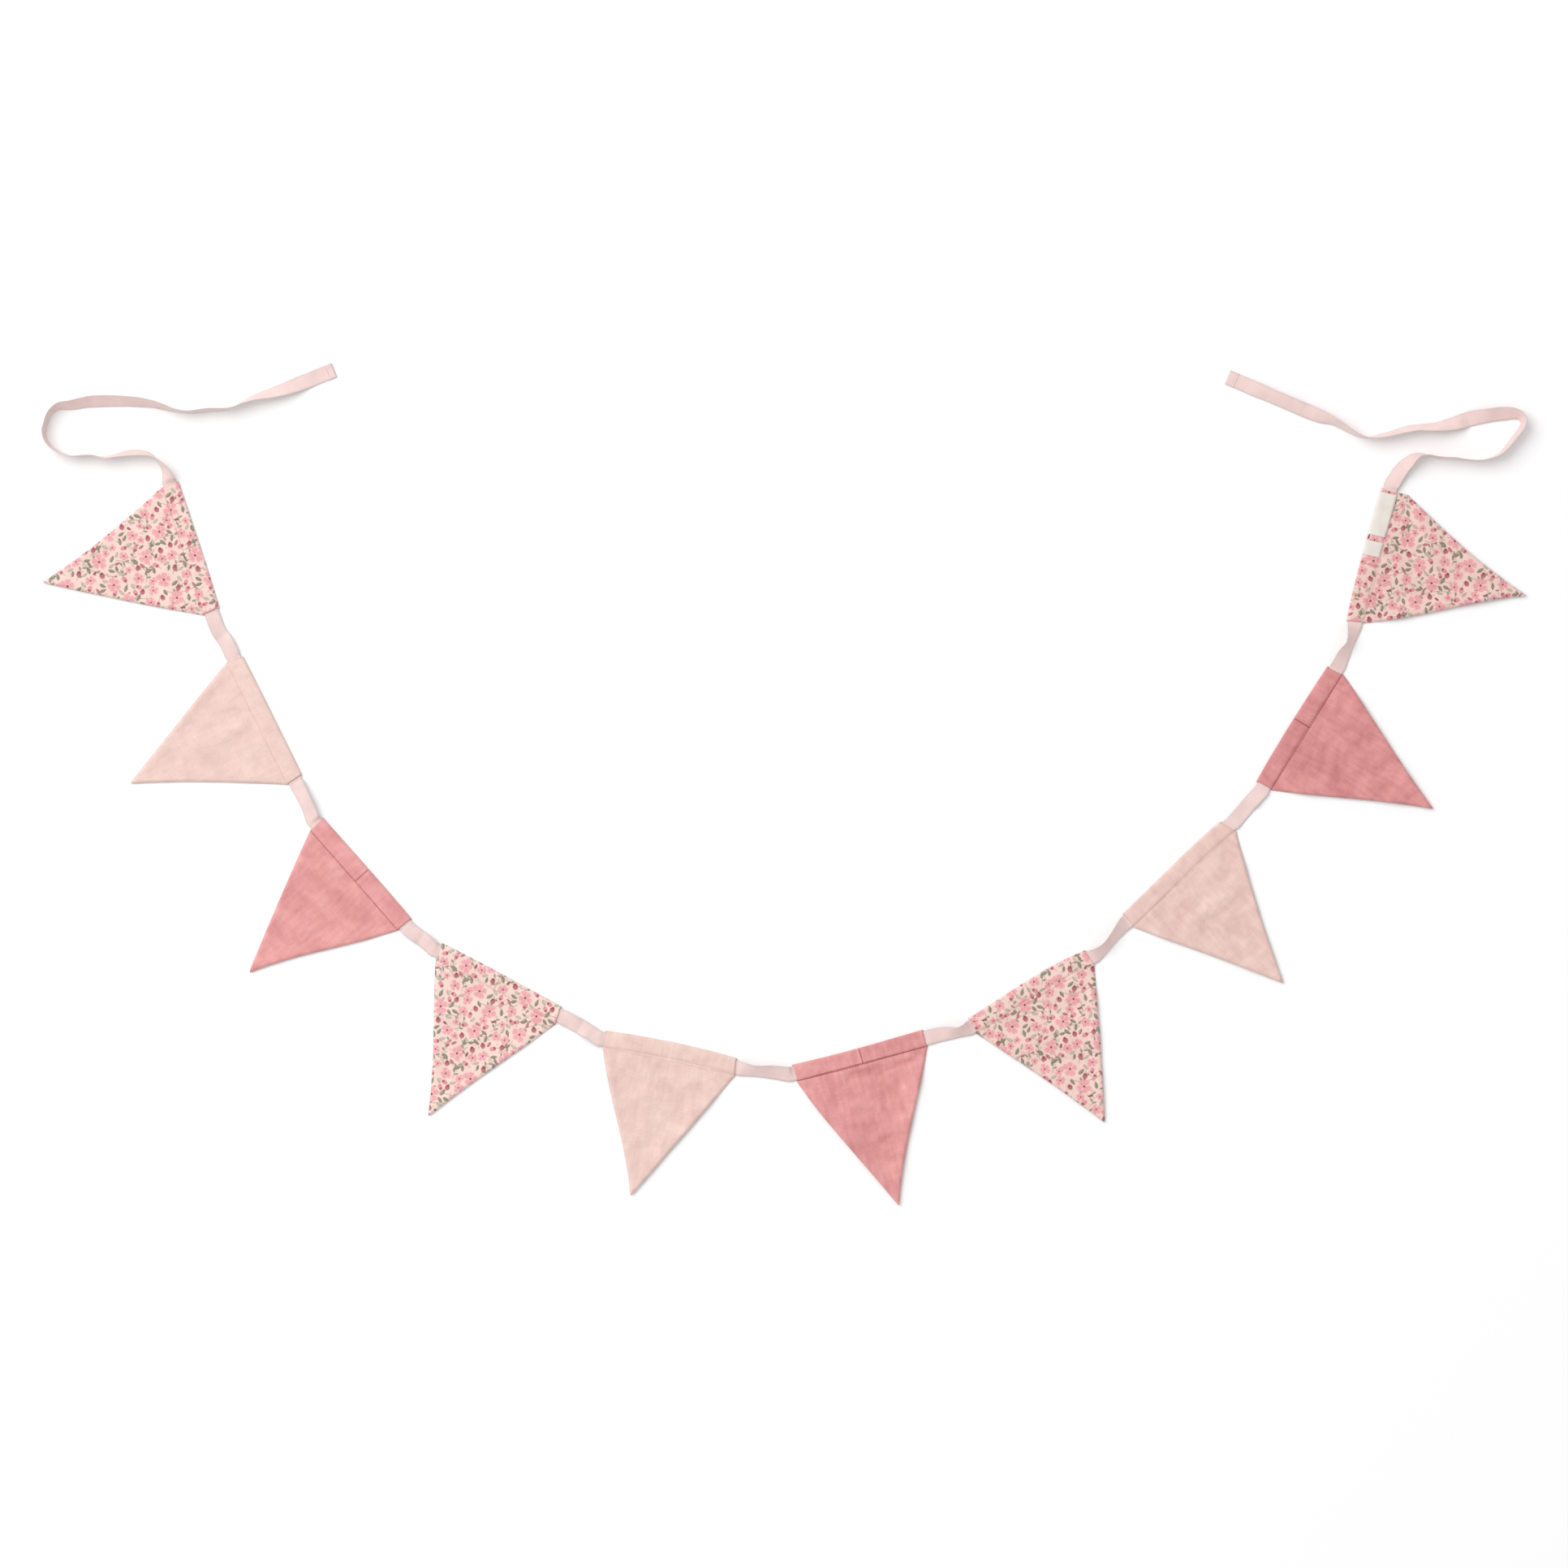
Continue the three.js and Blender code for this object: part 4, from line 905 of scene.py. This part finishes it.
def tape_mesh():
    """The woven band, with both ends folded over, laid along its route on the surface."""
    samples, travelled = tape_stations(TAPE_SPACING)
    whole = travelled[-1]
    for step in (HEM_LENGTH, whole - HEM_LENGTH):
        edges = step + np.array([-0.35, 0.35])
        extra = np.column_stack([np.interp(edges, travelled, samples[:, k]) for k in range(5)])
        order = np.argsort(np.concatenate([travelled, edges]), kind="stable")
        samples = np.vstack([samples, extra])[order]
        travelled = np.concatenate([travelled, edges])[order]
    keep = np.concatenate([[True], np.diff(travelled) > 0.05])
    samples, travelled = samples[keep], travelled[keep]

    rib = 1 - 0.45 * (np.abs(TAPE_ACROSS) > 0.49) + 0.06 * (np.abs(TAPE_ACROSS) > 0.4)
    section = [(a, 0.5 * r) for a, r in zip(TAPE_ACROSS, rib)]
    section += [(a, -0.5 * r) for a, r in zip(TAPE_ACROSS[::-1], rib[::-1])]

    way = np.gradient(samples[:, :2], axis=0)
    way /= np.hypot(*way.T)[:, None]
    points, uvs = [], []
    for (x, y, lift, roll, width), (wx, wy), s in zip(samples, way, travelled):
        from_end = min(s, whole - s)
        thickness = HEM_THICKNESS if from_end < HEM_LENGTH else TAPE_THICKNESS
        on_surface = smooth(0.6, 0.0, lift)
        free = smooth(12, 40, from_end) * on_surface
        wave = free * 0.45 * (1 + noise.noise(Vector((s / 16, 3.1, 0.4))))
        cup = 0.35 * noise.noise(Vector((s / 24, 7.7, 1.4))) * on_surface
        lean = 0.05 * free * noise.noise(Vector((s / 11, 5.3, 2.2)))
        cos, sin = math.cos(roll + lean), math.sin(roll + lean)
        rest = (width * abs(sin) + thickness * abs(cos)) / 2
        for a, b in section:
            off = a * width
            through = b * thickness + cup * (1 - (2 * a) ** 2)
            sideways = off * cos - through * sin
            up = off * sin + through * cos
            z = max(max(lift, 0) + rest + up + wave + abs(cup) * 0.5, 0.0)
            points.append((x - wy * sideways, y + wx * sideways, z))
            uvs.append((s / MAP_SIZE, (a if b > 0 else 1 - a) * TAPE_WIDTH / MAP_SIZE))
    return np.array(points), band_faces(len(samples), len(section)), uvs, whole, samples, travelled


# Labels
def label_mesh(pennant, low, high, slant):
    """A thin woven patch from the seam over the fold and down its outer side."""
    seam = pennant["seam"]
    depths = np.concatenate([[seam - 0.35, seam - 0.9], np.linspace(seam - 1.6, 1.2, 16)])
    heights = np.interp(depths, *channel_profile(seam)) + LABEL_GAP
    outer = list(zip(depths, heights + LABEL_THICKNESS))
    outer += [(0.4, 3.62), (-0.4, 3.25), (-1.05, 2.6), (-1.4, 1.8), (-1.45, 0.9), (-1.4, 0.55)]
    inner = list(zip(depths, heights))
    inner += [(0.45, 3.2), (-0.2, 2.85), (-0.75, 2.3), (-0.98, 1.7), (-1.0, 0.9), (-1.0, 0.6)]
    ring = outer + inner[::-1]
    near_edge = np.array([0, 0.35, 0.9])
    between = np.linspace(low + 2, high - 2, 14)
    stations = np.concatenate([low + near_edge, between, high - near_edge[::-1]])
    points, uvs = [], []
    for station in stations:
        thin = 0.75 if min(station - low, high - station) < 0.1 else 1.0
        ripple = 0.08 * noise.noise(Vector((station / 5, 1.7, 0.2)))
        for k, (v, z) in enumerate(ring):
            u = station + slant * v / SEAM_ROW
            base = inner[k][1] if k < len(inner) else z
            height = base + (z - base) * thin + ripple * (0 < v < seam)
            points.append((u, v + fold_shift(pennant, u), height))
            uvs.append((u / MAP_SIZE, (v if k < len(inner) else 20 + v) / MAP_SIZE))
    return np.array(points), band_faces(len(stations), len(ring)), uvs


# Stitches
def stitch_piece(name, runs, thread):
    """Rows of stitches, each a short thread with both ends let in.

    Each run is a line of places, with the pitch and length of its stitches and the radius of the thread.
    """
    points, faces = [], []
    sides = 6
    shape = [(0.0, 0.35, -0.9), (0.15, 0.9, -0.2), (0.5, 1.0, 0.15), (0.85, 0.9, -0.2), (1.0, 0.35, -0.9)]
    for line, pitch, length, radius in runs:
        line = np.asarray(line, dtype=float)
        travelled = np.concatenate([[0], np.cumsum(np.linalg.norm(np.diff(line, axis=0), axis=1))])

        def place_at(s):
            return np.array([np.interp(s, travelled, line[:, k]) for k in range(3)])

        start = 0.4 * pitch
        while start + length < travelled[-1]:
            first = len(points)
            for share, size, rise in shape:
                s = start + share * length
                place = place_at(s)
                ahead = place_at(s + 0.3) - place
                ahead /= max(np.linalg.norm(ahead), 1e-6)
                side = np.array([-ahead[1], ahead[0], 0.0])
                for k in range(sides):
                    turn = math.pi * k / 3
                    offset = side * math.cos(turn) * radius * size
                    up = np.array([0, 0, radius * (size * math.sin(turn) + rise)])
                    points.append(place + offset + up)
            faces += ring_faces(len(shape), sides, first)
            faces.append(tuple(first + k for k in range(sides)))
            faces.append(tuple(first + sides * (len(shape) - 1) + k for k in range(sides)))
            start += pitch
    return make_piece(name, points, faces, thread)


def surface_line(pennant, ends, count, lift):
    """A straight local line from (u, v) to (u, v), laid on the upper face."""
    (u0, v0), (u1, v1) = ends
    u, v = np.linspace(u0, u1, count), np.linspace(v0, v1, count)
    left, right = sides_at(pennant, v)
    edge = SIDE_SLANT * np.minimum(u - left, right - u)
    z = upper_height(pennant, u, v, edge) + lift
    x, y = to_world(pennant, u, v + fold_shift(pennant, u) * bulge_fade(v))
    return np.column_stack([x, y, z])


# Materials
def feed(tree, made, inputs):
    """Gives a node its inputs, each another node's output or a fixed value."""
    for key, value in inputs.items():
        if hasattr(value, "is_linked"):
            tree.links.new(value, made.inputs[key])
        else:
            made.inputs[key].default_value = value


def node(tree, kind, inputs=None, **settings):
    made = tree.nodes.new(kind)
    for key, value in settings.items():
        setattr(made, key, value)
    feed(tree, made, inputs or {})
    return made


def mix_colour(tree, mode, factor, first, second):
    inputs = {0: factor, 6: first, 7: second}
    return node(tree, "ShaderNodeMix", inputs, data_type="RGBA", blend_type=mode).outputs[2]


def noise_at(tree, source, scale, detail, stretch=(1, 1, 1)):
    shape = node(tree, "ShaderNodeMapping", {"Vector": source, "Scale": stretch})
    inputs = {"Vector": shape.outputs["Vector"], "Scale": scale, "Detail": detail}
    return node(tree, "ShaderNodeTexNoise", inputs).outputs["Fac"]


def threads_at(tree, source, axis, scale):
    inputs = {"Vector": source, "Scale": scale, "Distortion": 0.8, "Detail": 1.0, "Detail Scale": 0.6}
    settings = dict(wave_type="BANDS", bands_direction=axis, wave_profile="SIN")
    return node(tree, "ShaderNodeTexWave", inputs, **settings).outputs["Fac"]


def mathed(tree, operation, first, second):
    return node(tree, "ShaderNodeMath", {0: first, 1: second}, operation=operation).outputs[0]


def ranged(tree, source, low, high):
    """From 0 to 1 as the source goes from low to high."""
    return node(tree, "ShaderNodeMapRange", {"From Min": low, "From Max": high, "Value": source}).outputs[0]


def new_material(name):
    """A material, its tree of nodes and its shader."""
    material = bpy.data.materials.new(name)
    material.use_nodes = True
    return material, material.node_tree, material.node_tree.nodes["Principled BSDF"]


def cloth_material(name, colour=None, pitch=0.55, slub=0.5, crinkle=0.3, roughness=0.92, sheen=0.15):
    """Woven cotton: crossing threads of that pitch in mm with painted shade between them, slubs along both
    ways, soft clouds of painted shade and a soft crinkle.

    Without a colour, the colours are those stored at the points of the mesh.
    """
    material, tree, shader = new_material(name)
    place = node(tree, "ShaderNodeTexCoord").outputs["UV"]
    scale = 2 * math.pi / (20 * pitch / MAP_SIZE)
    weave = mathed(tree, "MAXIMUM", threads_at(tree, place, "X", scale), threads_at(tree, place, "Y", scale))
    along_u = noise_at(tree, place, 60, 2, (0.12, 1.6, 1))
    along_v = noise_at(tree, place, 60, 2, (1.6, 0.12, 1))
    slubs = mathed(tree, "ADD", along_u, along_v)
    shade_cloud_noise = noise_at(tree, place, 7, 3)
    fine = noise_at(tree, place, 34, 3)

    if colour:
        base = (*linear(colour), 1)
    else:
        base = node(tree, "ShaderNodeVertexColor", layer_name="print").outputs["Color"]
    # A darker tone of the cloth, used for the clouds of painted shade and for the slubs
    deep = mix_colour(tree, "MULTIPLY", 1.0, base, (0.86, 0.83, 0.83, 1))
    # Soft clouds of painted shade
    painted_cloud_shade = mathed(tree, "MULTIPLY", ranged(tree, shade_cloud_noise, 0.35, 0.7), 0.55)
    tone = mix_colour(tree, "MIX", painted_cloud_shade, base, deep)
    streaks = mathed(tree, "MULTIPLY", ranged(tree, slubs, 0.82, 1.22), 0.5 * slub)
    tone = mix_colour(tree, "MIX", streaks, tone, deep)
    # Painted shade in the gaps between the threads
    thread_gap_shade = mathed(tree, "MULTIPLY", mathed(tree, "SUBTRACT", 1.0, weave), 0.5)
    between = mix_colour(tree, "MULTIPLY", 1.0, tone, (0.88, 0.86, 0.86, 1))
    tone = mix_colour(tree, "MIX", thread_gap_shade, tone, between)

    relief = [mathed(tree, "MULTIPLY", height, size)
              for height, size in ((weave, 0.10), (slubs, 0.12 * slub), (fine, 0.9 * crinkle))]
    height = mathed(tree, "ADD", mathed(tree, "ADD", relief[0], relief[1]), relief[2])
    bump = node(tree, "ShaderNodeBump", {"Strength": 1.0, "Distance": 0.001, "Height": height})
    feed(tree, shader, {
        "Base Color": tone, "Normal": bump.outputs["Normal"], "Roughness": roughness,
        "Specular IOR Level": 0.25, "Sheen Weight": sheen, "Sheen Roughness": 0.5,
    })
    return material


def thread_material(name, colour):
    """Twisted thread, in the colour and a darker tone of it."""
    material, tree, shader = new_material(name)
    twist = noise_at(tree, node(tree, "ShaderNodeTexCoord").outputs["Object"], 1800, 1)
    deep = (*linear([c * 0.85 for c in colour]), 1)
    tone = mix_colour(tree, "MIX", twist, (*linear(colour), 1), deep)
    feed(tree, shader, {"Base Color": tone, "Roughness": 0.6, "Sheen Weight": 0.2})
    return material


TAPE_COLOUR = (238, 211, 206)
# The tape's two edges are darkened by painted shade
SHADED_EDGE_FROM = 0.46
TAPE_EDGE_PAINTED_SHADE = np.array([0.86, 0.92, 0.94])
CLOTH_COLOURS = {"floral": PRINT["ground"], "blush": (241, 212, 202), "rose": (233, 165, 163)}
CLOTHS = {
    "floral": cloth_material("floral_cotton", pitch=0.42, slub=0.3, crinkle=0.15),
    "blush": cloth_material("blush_gauze", pitch=0.6, slub=1.0, crinkle=0.5),
    "rose": cloth_material("rose_gauze", pitch=0.6, slub=1.5, crinkle=0.6),
}
TAPE_CLOTH = cloth_material("tape_cotton", pitch=0.7, slub=0.4, crinkle=0.1, roughness=0.85, sheen=0.5)
LABEL_CLOTH = cloth_material(
    "label_weave", (241, 235, 226), pitch=0.3, slub=0.3, crinkle=0.05, roughness=0.7)
THREADS = {
    "floral": thread_material("floral_thread", (240, 205, 196)),
    "blush": thread_material("blush_thread", (243, 214, 203)),
    "rose": thread_material("rose_thread", (160, 76, 86)),
    "tape": thread_material("tape_thread", (216, 178, 174)),
    "label": thread_material("label_thread", (205, 182, 172)),
}


def outline_area(pennant):
    """Area inside a pennant's outline, in square metres."""
    depths = np.linspace(0, pennant["tip"][1], 400)
    left, right = sides_at(pennant, depths)
    return float(np.trapz(right - left, depths)) * 1e-6


# Pennants
for pennant in PENNANTS:
    local, faces = pennant_mesh(pennant)
    u, v, z = local.T
    x, y = to_world(pennant, u, v)
    left, right = sides_at(pennant, v)
    from_sides = (u - left, right - u)
    places = np.column_stack([x, y, z + side_lift(pennant, v, from_sides)])
    if pennant["cloth"] == "floral":
        colours = print_colours(pennant, x, y)
    else:
        colours = np.tile(linear(CLOTH_COLOURS[pennant["cloth"]]), (len(x), 1))
    # Painted shade of the sewing and the creases and a painted fall of light darken the colours; the seam
    # under the sole gets a dark line for its thread
    shade = painted_seam_shade_and_thread(pennant, u, v, np.maximum(np.minimum(*from_sides), 0), z)
    shade *= painted_shade_and_falloff(pennant, u, v)
    colours = colours * shade[:, None] ** SHADE_BY_CHANNEL
    flag = make_piece("cloth_" + pennant["name"], places, faces, CLOTHS[pennant["cloth"]],
                      uvs=local[:, :2] / MAP_SIZE, colours=colours)
    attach(flag, "root")
    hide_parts(pennant["name"])

    seam, tack = pennant["seam"], pennant["tack"]
    low, high = start_side(pennant, seam) + SEAM_STITCHES_FROM, end_side(pennant, seam) - SEAM_STITCHES_FROM
    runs = [
        (surface_line(pennant, ((low, seam), (high, seam)), 240, STITCHES_UP), *SEAM_STITCH),
        (surface_line(pennant, ((tack, 0.8), (tack + 0.6, seam - 0.4)), 40, STITCHES_UP), *TACK_STITCH),
    ]
    stitching = stitch_piece("stitching_" + pennant["name"], runs, THREADS[pennant["cloth"]])
    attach(stitching, "root")
    outline_area(pennant)

# Tape
tape_points, tape_faces, tape_uvs, tape_length, samples, travelled = tape_mesh()
tape_colours = np.tile(linear(TAPE_COLOUR), (len(tape_points), 1))
# Painted shade along both edges of the tape
at_shaded_edge = np.tile(np.abs(TAPE_ACROSS) > SHADED_EDGE_FROM, 2 * len(samples))
tape_colours[at_shaded_edge] *= TAPE_EDGE_PAINTED_SHADE
tape = make_piece("cotton_tape", tape_points, tape_faces, TAPE_CLOTH, uvs=tape_uvs, colours=tape_colours)
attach(tape, "root")
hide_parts("ribbon")
hems = []
for at in (HEM_LENGTH - HEM_STITCHES_FROM, tape_length - HEM_LENGTH + HEM_STITCHES_FROM):
    k = int(np.argmin(np.abs(travelled - at)))
    here = samples[k, :2]
    along = samples[k + 1, :2] - here
    along /= np.hypot(*along)
    side = np.array([-along[1], along[0]])
    shares = np.linspace(-HEM_STITCHES_REACH, HEM_STITCHES_REACH, 30)
    hems.append(([(*(here + side * s), HEM_THICKNESS + 0.05) for s in shares], *HEM_STITCH))
hem_stitching = stitch_piece("stitching_tape", hems, THREADS["tape"])
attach(hem_stitching, "root")

# Labels
for name, low, high, slant in LABELS:
    pennant = PENNANTS[-1]
    local, faces, uvs = label_mesh(pennant, low, high, slant)
    x, y = to_world(pennant, local[:, 0], local[:, 1])
    patch = make_piece("woven_" + name, np.column_stack([x, y, local[:, 2]]), faces, LABEL_CLOTH, uvs=uvs)
    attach(patch, "root")
    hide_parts(name)
    depth = pennant["seam"] - LABEL_SEAM_GAP
    ends = ((low + LABEL_STITCHES_FROM + slant, depth), (high - LABEL_STITCHES_FROM + slant, depth))
    runs = [(surface_line(pennant, ends, 60, LABEL_STITCHES_UP), *LABEL_STITCH)]
    edge_stitches = stitch_piece("stitching_" + name, runs, THREADS["label"])
    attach(edge_stitches, "root")

# Floor, light and camera, in metres
FLOOR_HALF = 8.0
FLOOR_DROP = 0.0002
KEY_PLACE = (-4.6, 3.7, 6.9)
KEY_SIZE = 8.3
KEY_POWER = 552
SKY_STRENGTH = 0.72
CAMERA_HEIGHT = 9.0
FRAME_WIDTH = 1.56492
SENSOR_WIDTH = 36.0

floor_mesh = bpy.data.meshes.new("floor")
around = ((-1, -1), (1, -1), (1, 1), (-1, 1))
floor_corners = [(a * FLOOR_HALF, b * FLOOR_HALF, -FLOOR_DROP) for a, b in around]
floor_mesh.from_pydata(floor_corners, [], [(0, 1, 2, 3)])
floor = bpy.data.objects.new("floor", floor_mesh)
bpy.context.scene.collection.objects.link(floor)
floor_material, floor_tree, floor_shader = new_material("floor_paper")
feed(floor_tree, floor_shader, {
    "Base Color": (0.92, 0.92, 0.92, 1), "Roughness": 0.95, "Specular IOR Level": 0.1,
})
floor_mesh.materials.append(floor_material)

world = bpy.data.worlds.new("studio")
world.use_nodes = True
sky = world.node_tree.nodes["Background"]
feed(world.node_tree, sky, {"Color": (1.0, 1.0, 1.0, 1), "Strength": SKY_STRENGTH})
bpy.context.scene.world = world
bpy.context.scene.view_settings.view_transform = "Standard"

key_data = bpy.data.lights.new("key", "AREA")
key_data.shape = "DISK"
key_data.size = KEY_SIZE
key_data.energy = KEY_POWER
key = bpy.data.objects.new("key", key_data)
key.location = KEY_PLACE
key.rotation_euler = (-Vector(KEY_PLACE)).to_track_quat("-Z", "Y").to_euler()
bpy.context.scene.collection.objects.link(key)

camera_data = bpy.data.cameras.new("camera")
camera_data.sensor_width = SENSOR_WIDTH
camera_data.lens = SENSOR_WIDTH * CAMERA_HEIGHT / FRAME_WIDTH
camera_data.clip_end = 100
camera = bpy.data.objects.new("camera", camera_data)
camera.location = (0, 0, CAMERA_HEIGHT)
bpy.context.scene.collection.objects.link(camera)
bpy.context.scene.camera = camera
